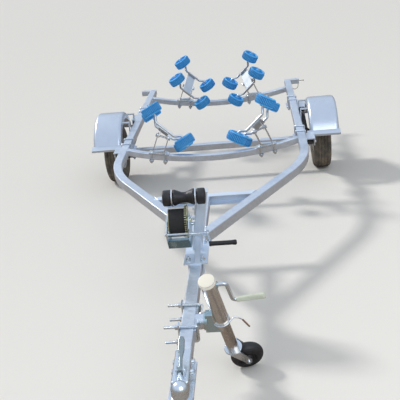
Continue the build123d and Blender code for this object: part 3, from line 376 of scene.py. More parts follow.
def painted_shade_between_teeth(finish, place):
    """1 in the main gear's tooth gaps, which take painted shade, 0 on the tips and elsewhere: between
    root and tip circle about the drum's axis, and right of the drum."""
    way = finish.node("ShaderNodeVectorMath", {"operation": "SUBTRACT"},
                      {0: place, 1: parked(WINCH).tolist()})
    radius = finish.node("ShaderNodeVectorMath", {"operation": "LENGTH"},
                         {0: finish.stretched(way, (0, 1, 1))}, 1)
    past_root = radius.step(TOOTH_ROOT, TOOTH_ROOT + MASK_EDGE)
    below_tip = 1 - radius.step(TOOTH_TIP, TOOTH_TIP + MASK_EDGE)
    gear_left = GEAR_LEFT / 1000
    return past_root * below_tip * finish.split(place)[0].step(gear_left, gear_left + 0.0004)


def painted_reflection_on_jack_arm(finish, place):
    """0 on the jack's tube, 1 on the arm beside it, which takes a painted reflection: the distance from
    the tube's axis is the length of the cross product of the axis with the way from the collar."""
    collar, up = parked(JACK_COLLAR).tolist(), (TIP @ JACK_UP).tolist()
    way = finish.node("ShaderNodeVectorMath", {"operation": "SUBTRACT"}, {0: place, 1: collar})
    square = finish.node("ShaderNodeVectorMath", {"operation": "CROSS_PRODUCT"}, {0: way, 1: up})
    distance = finish.node("ShaderNodeVectorMath", {"operation": "LENGTH"}, {0: square}, 1)
    return distance.step(JACK_SKIN, JACK_SKIN + 0.001)


def zinc_plate(name, base, cloud, shine, other=None, where=None):
    """Bright plate; where, a function of the finish and the place, gives the share of other."""
    finish = Finish(name)
    place = finish.place()
    # other is a colour of painted shade or painted reflection, laid where the mask says.
    if where:
        base = finish.mixed(base, other, where(finish, place))
    clouds = finish.noise(place, 22.0, 4.0, 0.55)
    spots = finish.noise(place, 160.0, 3.0, 0.6)
    drawn = finish.noise(finish.stretched(place, (240, 240, 30)), 1.0, 2.0, 0.5)
    colour = finish.mixed(base, cloud, clouds.step(0.48, 0.72) * 0.6)
    colour = finish.mixed(colour, grey(0.35), spots.step(0.66, 0.80) * 0.35)
    rough = shine + (clouds - 0.5) * 0.22 + spots.step(0.60, 0.80) * 0.16 + (drawn - 0.5) * 0.06
    return finish.finished(Base_Color=colour, Metallic=0.94, Roughness=rough,
                           Normal=finish.bump(drawn * 0.4 + spots * 0.3, 0.0003, 0.4))


bright_zinc = zinc_plate("bright_zinc", (0.76, 0.82, 0.87, 1), (0.74, 0.74, 0.64, 1), 0.24)
white_zinc = zinc_plate("white_zinc", (0.84, 0.87, 0.90, 1), (0.74, 0.77, 0.80, 1), 0.34)
cradle_zinc = zinc_plate("cradle_zinc", (0.68, 0.72, 0.74, 1), (0.60, 0.62, 0.62, 1), 0.38)
warm_zinc = zinc_plate("warm_zinc", (0.62, 0.57, 0.51, 1), (0.52, 0.46, 0.40, 1), 0.24)
# The near-black second colour is painted shade between the gear's teeth.
yellow_zinc = zinc_plate("yellow_zinc", (0.84, 0.81, 0.52, 1), (0.42, 0.52, 0.16, 1), 0.30,
                         (0.050, 0.045, 0.028, 1), painted_shade_between_teeth)
lever_zinc = zinc_plate("lever_zinc", (0.35, 0.40, 0.40, 1), (0.44, 0.47, 0.44, 1), 0.28)
dark_wire = zinc_plate("dark_wire", (0.20, 0.18, 0.16, 1), (0.13, 0.10, 0.08, 1), 0.40)
# The bluer second colour is a painted reflection on the arm beside the jack's tube.
jack_zinc = zinc_plate("jack_zinc", (0.76, 0.74, 0.70, 1), (0.66, 0.62, 0.56, 1), 0.22,
                       (0.50, 0.66, 0.70, 1), painted_reflection_on_jack_arm)
# The dark teal second colour is painted shade and a painted reflection in the winch frame's floor channel.
winch_zinc = zinc_plate("winch_zinc", (0.76, 0.82, 0.87, 1), (0.46, 0.58, 0.62, 1), 0.24,
                        (0.20, 0.31, 0.36, 1), painted_shade_in_channel)
rusty_steel = zinc_plate("rusty_steel", (0.30, 0.17, 0.11, 1), (0.20, 0.10, 0.06, 1), 0.50)
print("zinc finishes made")

# %% [markdown]
# ## Rubber, webbing and plastic
# Road tyres carry brown dust in clouds. The hull rollers are moulded in blue, with a slightly
# chalky skin where boats have rubbed them, and painted shade darker down between their studs. The
# bow roller and the jockey wheel are plain black, the jack's cap and grip pale plastic.


# %% Rubber and plastic finishes
def rubber(name, base, worn, share_low, share_high, rough, depth=0.0004, cut=None):
    """Moulded rubber from base to worn, as clouds of noise go from share_low to share_high. cut is
    the colour of painted shade down in the grooves, where the piece has an attribute named groove."""
    finish = Finish(name)
    place = finish.place()
    clouds = finish.noise(place, 18.0, 5.0, 0.62)
    grain = finish.noise(place, 1400.0, 2.0, 0.6)
    share = (clouds + (grain - 0.5) * 0.4).step(share_low, share_high)
    colour = finish.mixed(base, worn, share)
    if cut:
        # Painted shade: the cut colour goes down in the grooves, as the groove attribute says.
        painted_groove_shade = finish.node("ShaderNodeAttribute", {"attribute_name": "groove"}, output="Fac")
        colour = finish.mixed(colour, cut, painted_groove_shade)
    roughness = rough + share * 0.12 + (grain - 0.5) * 0.12
    return finish.finished(Base_Color=colour, Roughness=roughness, Normal=finish.bump(grain, depth, 0.5))


road_rubber = rubber("road_rubber", (0.068, 0.060, 0.051, 1), (0.165, 0.134, 0.100, 1), 0.34, 0.66, 0.78)
# The dark blue cut colour is painted shade between the rollers' studs.
blue_rubber = rubber("blue_rubber", (0.060, 0.410, 0.860, 1), (0.130, 0.500, 0.900, 1), 0.42, 0.72, 0.38,
                     cut=(0.014, 0.170, 0.480, 1))
black_rubber = rubber("black_rubber", (0.016, 0.016, 0.018, 1), (0.050, 0.048, 0.046, 1), 0.50, 0.78, 0.46)
black_grip = rubber("black_grip", (0.014, 0.014, 0.015, 1), (0.032, 0.032, 0.033, 1), 0.45, 0.75, 0.50)
cream_plastic = rubber("cream_plastic", (0.80, 0.77, 0.68, 1), (0.66, 0.61, 0.50, 1), 0.50, 0.80, 0.42,
                       0.0001)
pale_grip = rubber("pale_grip", (0.56, 0.60, 0.50, 1), (0.44, 0.47, 0.38, 1), 0.45, 0.75, 0.40,
                   0.0001)
spring_paint = rubber("spring_paint", (0.030, 0.031, 0.034, 1), (0.085, 0.070, 0.058, 1), 0.52, 0.72, 0.48)


BARS_ACROSS, BARS_AROUND = 2600.0, 1900.0


def webbing(name):
    """Woven strap: fine bars across and along, as sines of the distance along each axis."""
    finish = Finish(name)
    x, y, z = finish.split(finish.place())
    across = (x * BARS_ACROSS).wave()
    around = ((y + z) * BARS_AROUND).wave()
    weave = across * around * 0.5 + 0.5
    colour = finish.mixed((0.010, 0.010, 0.011, 1), (0.040, 0.040, 0.042, 1), weave)
    return finish.finished(Base_Color=colour, Roughness=0.85, Normal=finish.bump(weave, 0.0006, 0.6))


strap_web = webbing("strap_web")
print("rubber, plastic and webbing made")

# %% [markdown]
# ## Which finish goes where
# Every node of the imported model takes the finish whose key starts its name, the longest key
# first. What no key names is frame, and the frame is galvanised.

# %% Finish for every CAD node
FINISH_OF = {
    "fender": galvanised_sheet, "road_wheel": galvanised_sheet, "leaf_spring": spring_paint,
    "tyre": road_rubber, "hull_roller": blue_rubber, "bow_roller": black_rubber,
    "jockey_wheel": black_rubber, "winch_strap": strap_web, "winch_drum": yellow_zinc,
    "cradle_swing": cradle_zinc, "cradle_stand": bright_zinc, "winch_frame": winch_zinc,
    "winch_crank": bright_zinc, "bow_roller_bracket": white_zinc, "coupler": bright_zinc,
    "coupler_handle": lever_zinc, "jack": warm_zinc, "jack_outer": jack_zinc, "jack_bracket": bright_zinc,
    "jack_crank": bright_zinc, "jockey_fork": bright_zinc, "winch_post": galvanised_post,
    "crossbar": galvanised_post,
}


def finish_for(name):
    """The entry of FINISH_OF with the longest key that starts the node's name."""
    fitting = [key for key in FINISH_OF if name.startswith(key)]
    return FINISH_OF[max(fitting, key=len)] if fitting else galvanised_frame


for name, node in nodes.items():
    node.data.materials.clear()
    node.data.materials.append(finish_for(name))
print("finishes on", len(nodes), "nodes")

# %% [markdown]
# ## Surfaces from numpy grids
# A new piece is one or more grids of points. Each grid is a function of two parameters, worked
# out as whole arrays: around and across a tyre, around and along a nut. Neighbouring points make
# the faces. Doubles are merged and the faces turned outwards, and then edges sharper than a set
# angle stay crisp while the rest shade smooth.


# %% Grids to meshes
def levelled(point):
    """Parked metres back to level millimetres."""
    return (np.asarray(point, float) - HUB_PARKED) * 1000 @ TIP + HUB


def directed(axis):
    """A parked direction in the level drawing."""
    return np.asarray(axis, float) @ TIP


def axes_on(axis, hint=(0.0, 0.0, 1.0)):
    """Two unit vectors square to the axis, the first as near to hint as that allows, and the axis."""
    along = np.asarray(axis, float) / np.linalg.norm(axis)
    first = np.asarray(hint, float) - along * np.dot(hint, along)
    if np.linalg.norm(first) < 1e-6:
        first = np.cross(along, [1.0, 0.3, 0.2])
    first /= np.linalg.norm(first)
    return first, np.cross(along, first), along


def quads(grid, rows_meet=False, columns_meet=False):
    """Points of a grid as (vertices, faces); either direction can close on itself."""
    rows, columns = grid.shape[:2]
    index = np.arange(rows * columns).reshape(rows, columns)
    if rows_meet:
        index = np.concatenate([index, index[:1]], 0)
    if columns_meet:
        index = np.concatenate([index, index[:, :1]], 1)
    faces = np.stack([index[:-1, :-1], index[1:, :-1], index[1:, 1:], index[:-1, 1:]], -1).reshape(-1, 4)
    return grid.reshape(-1, 3), faces


def turned(profile, origin, axis, steps=48, closed=False, swell=None):
    """Surface of revolution. A profile point (r, h) goes to origin + r cos t e1 + r sin t e2 + h axis,
    for steps angles t. swell, an array of steps by profile points, is added to r."""
    first, second, along = axes_on(axis)
    profile = np.asarray(profile, float)
    angle = np.linspace(0, 2 * np.pi, steps, endpoint=False)
    radius = np.broadcast_to(profile[:, 0], (steps, len(profile)))
    if swell is not None:
        radius = radius + swell
    spoke = np.cos(angle)[:, None] * first + np.sin(angle)[:, None] * second
    grid = np.asarray(origin, float) + radius[..., None] * spoke[:, None] + profile[:, 1][:, None] * along
    return quads(grid, rows_meet=True, columns_meet=closed)


def softened(points, radius, steps=4):
    """A profile with each inner corner rounded: a short curve from radius before it to radius
    after it, weighted (1 - s)^2, 2 s (1 - s) and s^2 between those two points and the corner."""
    points = np.asarray(points, float)
    before, corner, after = points[:-2], points[1:-1], points[2:]
    back, on = before - corner, after - corner
    reach_back = np.linalg.norm(back, axis=1, keepdims=True)
    reach_on = np.linalg.norm(on, axis=1, keepdims=True)
    cut = np.minimum(radius, np.minimum(reach_back, reach_on) * 0.45)
    start, end = corner + back / reach_back * cut, corner + on / reach_on * cut
    s = np.linspace(0, 1, steps)[None, :, None]
    arcs = (1 - s) ** 2 * start[:, None] + 2 * s * (1 - s) * corner[:, None] + s ** 2 * end[:, None]
    return np.concatenate([points[:1], arcs.reshape(-1, points.shape[1]), points[-1:]])


def run_length(points):
    """Distance along a line of points, from 0 at its first."""
    return np.concatenate([[0], np.cumsum(np.linalg.norm(np.diff(points, axis=0), axis=1))])


def evened(profile, count):
    """The profile as count points that lie equally far apart along it."""
    length = run_length(profile)
    even = np.linspace(0, length[-1], count)
    return np.stack([np.interp(even, length, profile[:, axis]) for axis in (0, 1)], 1)


def piece(name, parts, body, finish, replaced=(), sharp=34):
    """One object from several grids: level millimetres to parked metres, doubles merged, faces
    turned outwards, riding on its body."""
    counts = np.cumsum([0] + [len(points) for points, faces in parts])
    points = np.concatenate([points for points, faces in parts])
    faces = np.concatenate([faces + start for (_, faces), start in zip(parts, counts)])
    mesh = bpy.data.meshes.new(name)
    mesh.from_pydata(parked(points).tolist(), [], faces.tolist())
    built = bmesh.new()
    built.from_mesh(mesh)
    bmesh.ops.remove_doubles(built, verts=built.verts, dist=1e-6)
    bmesh.ops.recalc_face_normals(built, faces=built.faces)
    built.to_mesh(mesh)
    built.free()
    mesh.shade_smooth()
    mesh.set_sharp_from_angle(angle=np.radians(sharp))
    mesh.materials.append(finish)
    item = bpy.data.objects.new(name, mesh)
    bpy.context.scene.collection.objects.link(item)
    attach(item, body)
    if replaced:
        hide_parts(*replaced)
    return item


# %% [markdown]
# ## Road tyres
# Narrow cross-ply tyres with a ribbed tread. The whole section is one closed profile carried
# round the hub. On the tread the radius drops by the groove depth: two grooves run straight round,
# two zigzag, and short cuts cross the shoulders. Shallow rings mark the sidewall.


# %% Tyres
TYRE_RADIUS, RIM_RADIUS, TYRE_MIDDLE = 205.0, 102.6, 727.0
RIBS, GROOVE_DEPTH, CUT_DEPTH, RING_DEPTH = 42, 5.0, 3.2, 0.35


def groove(distance, half, edge=1.4):
    """1 inside a groove of that half width, 0 outside, sloping over edge."""
    return np.clip((half - np.abs(distance)) / edge + 0.5, 0, 1)


def tyre_grids(centre, steps=420):
    """Closed tyre section turned about the hub, with its tread cut as a drop in radius."""
    left_half = [(RIM_RADIUS, -39), (112.5, -42.5), (120, -49), (152, -62.3), (182, -60), (198, -51),
                 (203.5, -36)]
    right_half = [(radius, -x) for radius, x in left_half[::-1]]
    outer = evened(softened(left_half + [(TYRE_RADIUS, 0)] + right_half, 16.0, 5), 92)
    inner = softened([(RIM_RADIUS, 39), (RIM_RADIUS, 26), (150, 54), (186, 46), (194, 20), (194, -20),
                      (186, -46), (150, -54), (RIM_RADIUS, -26), (RIM_RADIUS, -39)], 10.0, 3)[1:-1]
    angle = np.linspace(0, 2 * np.pi, steps, endpoint=False)[:, None]
    radius, x = outer[None, :, 0], outer[None, :, 1]
    on_tread = np.clip((radius - 190) / 6, 0, 1)
    zigzag = 3.2 * (2 / np.pi) * np.arcsin(np.sin(angle * RIBS))
    cuts = groove(x - 11 - zigzag, 2.6) + groove(x + 11 - zigzag, 2.6)
    cuts = cuts + groove(np.abs(x) - 31, 2.8)
    across = groove(np.sin(angle * RIBS + np.sign(x) * 0.8), 0.26, 0.2) * np.clip((np.abs(x) - 36) / 3, 0, 1)
    drop = -GROOVE_DEPTH * np.clip(cuts, 0, 1) * on_tread - CUT_DEPTH * across * on_tread
    side = np.clip((radius - 118) / 4, 0, 1) * (1 - on_tread)
    drop = drop + RING_DEPTH * side * np.sin(radius * 1.25)
    profile = np.concatenate([outer, inner])
    swell = np.concatenate([drop, np.zeros((steps, len(inner)))], 1)
    return turned(profile, centre, (1, 0, 0), steps, True, swell)


for side, sign in (("left", -1), ("right", 1)):
    piece(f"road_tyre_{side}", [tyre_grids((sign * TYRE_MIDDLE, HUB[1], HUB[2]))], f"road_wheel_{side}",
          road_rubber, [f"tyre_{side}"], 50)
print("tyres made")

# %% [markdown]
# ## Hull rollers
# Each roller is moulded in soft blue rubber: a tread of small square studs, rounded shoulders,
# and a hollow on either face with spokes from the hub to the rim. The studs are a product of two
# waves, one around and one across, clipped flat on top, so a few lines give hundreds of studs.
# An attribute on the vertices tells the finish where to paint shade down in the grooves.


# %% Rollers on the cradles
ROLLER_RADIUS, ROLLER_HALF = 63.0, 29.0
STUDS_AROUND, STUDS_ACROSS, STUD_DEPTH = 36, 5, 2.8
SPOKES = 6


def flat_bar(start, end, wide, thick):
    """Straight bar of rectangular section: its four long faces and two ends."""
    start, end, wide, thick = (np.asarray(v, float) for v in (start, end, wide, thick))
    corners = np.stack([wide + thick, wide - thick, -wide - thick, -wide + thick]) / 2
    rows = np.stack([start + corners * 0, start + corners, end + corners, end + corners * 0])
    return quads(rows, columns_meet=True)


def roller_grids(centre, axis, steps=220):
    """Closed roller section turned about its axle, studs added to the radius, and twelve spokes."""
    r, w = ROLLER_RADIUS, ROLLER_HALF
    rim = softened([(r - 16, w - 1), (r - 12, w), (r - 6, w), (r - 0.5, w - 9), (r, 0), (r - 0.5, 9 - w),
                    (r - 6, -w), (r - 12, -w), (r - 16, 1 - w)], 6.0, 4)
    rim = evened(rim, 40)
    hollow = np.array([(r - 18, 6 - w), (r - 18, -5), (18, -5), (15.5, -8), (15, 1.5 - w), (13.5, -w),
                       (8.2, -w)])
    inside = np.concatenate([hollow, (hollow * (1, -1))[::-1]])
    angle = np.linspace(0, 2 * np.pi, steps, endpoint=False)[:, None]
    across = rim[None, :, 1] / (2 * w) * STUDS_ACROSS
    studs = np.clip(0.3 + 2.4 * np.cos(angle * STUDS_AROUND) * np.abs(np.cos(across * np.pi)), 0, 1)
    tread = np.clip((rim[None, :, 0] - r + 6) / 3, 0, 1)
    swell = np.concatenate([-STUD_DEPTH * (1 - studs) * tread, np.zeros((steps, len(inside)))], 1)
    parts = [turned(np.concatenate([rim, inside]), centre, axis, steps, True, swell)]
    first, second, along = axes_on(axis)
    for turn in np.arange(SPOKES) * 2 * np.pi / SPOKES:
        out = np.cos(turn) * first + np.sin(turn) * second
        square = np.cross(along, out)
        for face in (-1, 1):
            middle = centre + along * face * 13
            parts.append(flat_bar(middle + out * 14, middle + out * (r - 17), square * 4, along * 18))
    return parts


def mark_groove_shade(item, centre, axis):
    """Attribute groove on the tread, the share of painted shade: 0 on top of a stud, 1 down between
    them, from each vertex's distance to the axle. The shoulders and the hollow faces stay 0."""
    places = np.empty(len(item.data.vertices) * 3)
    item.data.vertices.foreach_get("co", places)
    way = levelled(places.reshape(-1, 3)) - centre
    along = way @ axis
    radius = np.linalg.norm(way - along[:, None] * axis, axis=1)
    depth = np.clip((ROLLER_RADIUS - 0.4 - radius) / 1.8, 0, 1)
    depth *= (np.abs(along) < ROLLER_HALF - 7) & (radius > ROLLER_RADIUS - 8)
    item.data.attributes.new("groove", "FLOAT", "POINT").data.foreach_set("value", depth)


roller_count = 0
for name, joint in joints.items():
    if name.startswith("hull_roller"):
        body = joint["child"]
        centre, axis = levelled(joint["pos_m"]), directed(joint["axis"])
        roller = piece(f"studded_{body}", roller_grids(centre, axis), body, blue_rubber,
                       [body], 40)
        mark_groove_shade(roller, centre, axis / np.linalg.norm(axis))
        roller_count += 1
print(roller_count, "hull rollers made")

# %% [markdown]
# ## Bow roller, jockey wheel and webbing
# The bow roller has an hourglass middle between two plain end rollers, all on one steel pin.
# The jockey wheel is a solid tyre with a few turned rings. The strap is wound in tight layers;
# a profile that steps in and out a little at every layer shows them at the sides.

# %% Turned rubber pieces
BOW = np.array([-28.0, 945.0, 669.0])
BORE = 12.2


def bow_grids():
    """Closed profiles about the roller's pin: hourglass middle, left end, right end and sleeve."""
    left_half = [(BORE, -45.5), (29, -45.5), (33.6, -43), (34, -38), (22, -10)]
    right_half = [(radius, -x) for radius, x in left_half[::-1]]
    waist = softened(left_half + [(21, 0)] + right_half, 6.0, 5)
    parts = [turned(waist, BOW, (1, 0, 0), 96, True)]
    for side in (-1, 1):
        near, far = side * 53.3, side * 89.0
        end = softened([(BORE, near), (28, near), (33.5, near + side * 3), (34, near + side * 9),
                        (34, far - side * 9), (33.5, far - side * 3), (28, far), (16, far),
                        (15, far - side * 4), (BORE, far - side * 4)], 4.0, 4)
        parts.append(turned(end, BOW, (1, 0, 0), 96, True))
        pin = softened([(0, far - side * 3.8), (6, far - side * 3.8), (6, far - side * 1.5),
                        (0, far - side * 1)], 1.0, 3)
        parts.append(turned(pin, BOW, (1, 0, 0), 24))
    sleeve = np.array([(12.1, -88), (12.1, 88), (11, 88), (11, -88)])
    return parts + [turned(sleeve, BOW, (1, 0, 0), 48, True)]


piece("bow_roller_rubber", bow_grids(), "bow_roller", black_rubber, ["bow_roller"])

wheel_place = levelled(joints["jockey_wheel_spin"]["pos_m"])
wheel_axis = directed(joints["jockey_wheel_spin"]["axis"])
JOCKEY_RADIUS, JOCKEY_TREAD, RING_CUT = 64.0, 25.0, 0.7
arc = np.linspace(-90, 90, 41) * np.pi / 180
ringed = np.abs(np.sin(arc * 9)) > 0.9
crown = np.stack([JOCKEY_RADIUS - JOCKEY_TREAD + JOCKEY_TREAD * np.cos(arc) - RING_CUT * ringed,
                  JOCKEY_TREAD * np.sin(arc)], 1)
face_line = softened([(38, 25), (34, 24.4), (31, 18), (22, 17), (16, 27.5), (6.1, 28)], 3.0, 4)[1:]
wheel_line = np.concatenate([crown, face_line, (face_line * (1, -1))[::-1]])
piece("jockey_tyre", [turned(wheel_line, wheel_place, wheel_axis, 120, True)], "jockey_wheel", black_rubber,
      ["jockey_wheel"])

DRUM_RADIUS, STRAP_RADIUS, LAYER, STRAP_LEFT = 17.2, 52.0, 1.7, -94.9
layers = np.arange(DRUM_RADIUS, STRAP_RADIUS, LAYER)
right_side = np.stack([np.repeat(layers, 2), np.tile([GEAR_LEFT, GEAR_LEFT - 1.0], len(layers))], 1)
left_side = np.stack([np.repeat(layers, 2)[::-1], np.tile([STRAP_LEFT, STRAP_LEFT - 0.9], len(layers))], 1)
strap_line = np.concatenate([right_side, left_side])
piece("wound_strap", [turned(strap_line, WINCH, (1, 0, 0), 120, True)], "winch_drum", strap_web,
      ["winch_strap"])
print("bow roller, jockey tyre and strap made")

# %% [markdown]
# ## Nuts, threads and washers
# The clamps are U-bolts with nuts. A nut is a hexagon whose corners are turned off: at each
# height its radius is the smaller of the hexagon's and a cone's. A thread is a thin sleeve whose
# radius follows a sawtooth of height along the bolt minus the turn about it.


# %% Fastener surfaces
def nut(place, axis, flats, height, steps=36):
    """Hexagon nut from place along axis; radius = min(hexagon, chamfer) at each height."""
    first, second, along = axes_on(axis)
    angle = np.linspace(0, 2 * np.pi, steps, endpoint=False)
    hexagon = flats / 2 / np.cos((angle % (np.pi / 3)) - np.pi / 6)
    bevel = flats * 0.06
    heights = np.array([0, 0, bevel, height - bevel, height, height])
    limits = np.array([0.30, 0.525, 0.6, 0.6, 0.525, 0.30]) * flats
    radius = np.minimum(hexagon[:, None], limits[None, :])
    spoke = np.cos(angle)[:, None] * first + np.sin(angle)[:, None] * second
    grid = np.asarray(place, float) + radius[..., None] * spoke[:, None] + heights[:, None] * along
    return quads(grid, rows_meet=True, columns_meet=True)


def washer(place, axis, radius, height):
    """Flat ring from place along axis, its hole 0.45 of its radius."""
    hole = radius * 0.45
    return turned([(hole, 0), (radius, 0), (radius, height), (hole, height)], place, axis, 28, True)


def thread(place, axis, radius, length, pitch=2.2, steps=14):
    """Threaded tail with a domed end; the radius follows a sawtooth that climbs one pitch a turn."""
    first, second, along = axes_on(axis)
    height = np.linspace(0, length, int(length / pitch * 4) + 1)
    angle = np.linspace(0, 2 * np.pi, steps, endpoint=False)[:, None]
    saw = np.abs(((height[None, :] / pitch - angle / (2 * np.pi)) % 1) - 0.5) * 2
    ends = np.clip((length - height) / 1.5, 0, 1)[None, :]
    reach = (radius + 0.05 + 0.45 * saw) * (0.75 + 0.25 * ends)
    spoke = np.cos(angle) * first + np.sin(angle) * second
    grid = np.asarray(place, float) + reach[..., None] * spoke[:, None] + height[:, None] * along
    tip = np.broadcast_to(np.asarray(place, float) + along * length, (steps, 1, 3))
    return quads(np.concatenate([grid, tip], 1), rows_meet=True)


def clamped(place, axis, tail, radius=5.0, flats=17.0, height=8.5):
    """Washer, nut and the threaded tail that stands out of it, from the clamped face outwards."""
    along = np.asarray(axis, float) / np.linalg.norm(axis)
    place = np.asarray(place, float)
    return [washer(place, axis, radius * 2.1, 1.6), nut(place + along * 1.6, axis, flats, height),
            thread(place + along * (1.6 + height), axis, radius, tail - height - 1.6)]


def mirrored(parts):
    """The same grids on the left: X changes sign."""
    return [(points * (-1, 1, 1), faces) for points, faces in parts]


# %% [markdown]
# ## Clamps on the frame
# A U-bolt goes round a 50 mm tube, so its two legs stand LEG_OUT from the tube's middle. Two hold
# the winch post, two the jack's bracket, two each spring hanger and two the axle to its spring.
# A seat is the face that the washers lie on, and the left side mirrors the right.

# %% Fasteners on the frame
FRAME_TOP, TUBE, RAIL_X = 402.5, 50.0, 565.0
LEG_OUT = 30.3
POST_BOLTS, POST_SEAT = (873.0, 1048.0), 408.5
JACK_BOLTS, JACK_SEAT = (343.0, 500.0), -31.0
HANGERS, HANGER_REACH, HANGER_SEAT = (2746.0, 3586.0), 58.0, 346.4
SPRING_X, SPRING_OUT, AXLE_REACH, SPRING_SEAT = 627.0, 26.0, 28.5, 175.4

fasteners = []
for y in POST_BOLTS:
    for x in (-LEG_OUT, LEG_OUT):
        fasteners += clamped((x, y, POST_SEAT), (0, 0, 1), 22.2, flats=19.0, height=9.5)
for y in JACK_BOLTS:
    for z in (FRAME_TOP - TUBE / 2 + LEG_OUT, FRAME_TOP - TUBE / 2 - LEG_OUT):
        fasteners += clamped((JACK_SEAT, y, z), (-1, 0, 0), 51.0, flats=19.0, height=9.5)
right = []
for hanger_y in HANGERS:
    for y in (hanger_y - HANGER_REACH, hanger_y + HANGER_REACH):
        for x in (RAIL_X - LEG_OUT, RAIL_X + LEG_OUT):
            right += clamped((x, y, HANGER_SEAT), (0, 0, -1), 18.2)
for y in (HUB[1] - AXLE_REACH, HUB[1] + AXLE_REACH):
    for x in (SPRING_X - SPRING_OUT, SPRING_X + SPRING_OUT):
        right += clamped((x, y, SPRING_SEAT), (0, 0, -1), 16.4, height=7.0)
fasteners += right + mirrored(right)
piece("frame_fasteners", fasteners, "chassis", bright_zinc, sharp=28)
print(len(fasteners), "fastener surfaces on the frame")

# %% [markdown]
# ## Cradle clamps
# Each cradle stands on a bowed crossmember. Its saddle lies on the bow, so the bolts lean with it.
# The bow is an arc through the rails' inner faces and the sag in the middle, and its slope at the
# saddle is found from that circle.

# %% Fasteners on the cradles
RAIL_INNER, CROSS, PLATE = RAIL_X - TUBE / 2, 40.0, 6.0
CLAMP_ALONG, CLAMP_ASIDE, CLAMP_TAIL = 44.0, 25.5, 15.2
POST_FOOT = 96.0 * np.tan(np.radians(22.5))
FRONT_BOW, REAR_BOW = 2585.0, 3995.0

clamps = []
for place, sag, pivot_x in ((FRONT_BOW, 73.0, 305.0), (REAR_BOW, 67.0, 240.0)):
    circle = (RAIL_INNER ** 2 + sag ** 2) / (2 * sag)
    slope = np.arcsin((pivot_x + POST_FOOT) / circle)
    rise = circle * (1 - np.cos(slope))
    seat = np.array([pivot_x + POST_FOOT, place, FRAME_TOP - CROSS / 2 - sag + rise])
    along_bow = np.array([np.cos(slope), 0, np.sin(slope)])
    off_bow = np.array([-np.sin(slope), 0, np.cos(slope)])
    for x in (-CLAMP_ALONG, CLAMP_ALONG):
        for y in (-CLAMP_ASIDE, CLAMP_ASIDE):
            foot = seat + along_bow * x + np.array([0, y, 0]) - off_bow * (CROSS / 2 + PLATE)
            clamps += clamped(foot, -off_bow, CLAMP_TAIL)
clamps += mirrored(clamps)
piece("cradle_clamp_nuts", clamps, "chassis", bright_zinc, sharp=28)

PIVOT_HALF = 39.0
pivots = []
for place in ("front", "rear"):
    for side in ("left", "right"):
        joint = joints[f"cradle_{place}_{side}_rock"]
        centre, axis = levelled(joint["pos_m"]), directed(joint["axis"])
        for end in (-1, 1):
            pivots.append(nut(centre + axis * end * PIVOT_HALF, axis * end, 21.0, 9.0))
piece("cradle_pivot_nuts", pivots, "chassis", bright_zinc, sharp=28)
print(len(clamps), "clamp surfaces,", len(pivots), "pivot nuts")

# %% [markdown]
# ## Wheel nuts
# Four cone-seated nuts hold each road wheel. They turn with it, so they ride on the wheel's body.

# %% Wheel nuts
NUT_SEAT, NUT_CIRCLE, NUT_HEIGHT = 749.0, 47.0, 13.0

for side, sign in (("left", -1), ("right", 1)):
    nuts, outwards = [], (sign, 0, 0)
    middle = np.array([sign * NUT_SEAT, HUB[1], HUB[2]])
    for turn in np.radians([45, 135, 225, 315]):
        place = middle + NUT_CIRCLE * np.array([0, np.cos(turn), np.sin(turn)])
        nuts.append(nut(place, outwards, 19.0, NUT_HEIGHT))
        nuts.append(thread(place + (sign * NUT_HEIGHT, 0, 0), outwards, 5.5, 7.0))
    piece(f"wheel_nuts_{side}", nuts, f"road_wheel_{side}", bright_zinc, sharp=28)
print("wheel nuts made")

# %% [markdown]
# ## Grips and cap
# The winch handle has a black grip, the jack handle a pale one, and a pale cap closes the jack's
# tube. Each is a profile turned about its own bar.

# %% Grips and cap
WINCH_GRIP = np.array([72.0, 811.6, 509.8])
grip_line = softened([(7.2, -3), (9.2, -3), (10.8, 2), (9.6, 12), (9.4, 90), (10.8, 101), (10.8, 106),
                      (7, 109), (0, 109)], 4.0, 5)
jack_side, jack_back, jack_up = axes_on(JACK_UP, (1, 0, 0))
piece("winch_grip", [turned(grip_line, WINCH_GRIP, (1, 0, 0), 40)], "winch_crank", black_grip)
CRANK_HEIGHT, CRANK_ARM, GRIP_START = 208.0, 97.0, 80.0
crank_foot = JACK_COLLAR + jack_up * (CRANK_HEIGHT - CRANK_ARM) + jack_side * GRIP_START
handle_line = softened([(7.2, -2), (8.6, -2), (9.6, 3), (10.2, 40), (11.4, 84), (11.8, 96), (9, 100.5),
                        (0, 101)], 4.0, 5)
piece("jack_grip", [turned(handle_line, crank_foot, jack_side, 40)], "jack_crank", pale_grip)
cap_line = softened([(27.2, 223.6), (30.3, 223.6), (30.6, 226), (30.6, 236.5), (28, 239.6), (0, 240.0)],
                    2.0, 5)
piece("jack_cap", [turned(cap_line, JACK_COLLAR, jack_up, 64)], "jack_tube", cream_plastic)
print("grips and cap made")

# %% [markdown]
# ## Weld beads
# The frame is welded and then dipped, so each seam is a rounded bead with overlapping ripples
# under the zinc. A bead is a tube along its seam: the radius rises and falls with the distance
# along it.


# %% Welds
def bead(start, end, radius=3.0, ripple=3.2, steps=10):
    """Tube from start to end. Its radius is radius times 0.86 + 0.22 |sin(pi distance / ripple)|,
    rounded off at both ends by the root of the distance to the end."""
    start, end = np.asarray(start, float), np.asarray(end, float)
    length = np.linalg.norm(end - start)
    first, second, along = axes_on(end - start)
    distance = np.linspace(0, length, max(int(length / ripple * 4), 8))
    swell = 0.86 + 0.22 * np.abs(np.sin(distance * np.pi / ripple))
    taper = np.sqrt(np.clip(np.minimum(distance, length - distance) / radius, 0, 1))
    around = np.linspace(0, 2 * np.pi, steps, endpoint=False)
    spoke = np.cos(around)[:, None] * first + np.sin(around)[:, None] * second
    reach = radius * swell * taper
    grid = start + reach[None, :, None] * spoke[:, None] + distance[None, :, None] * along
    return quads(grid, rows_meet=True)


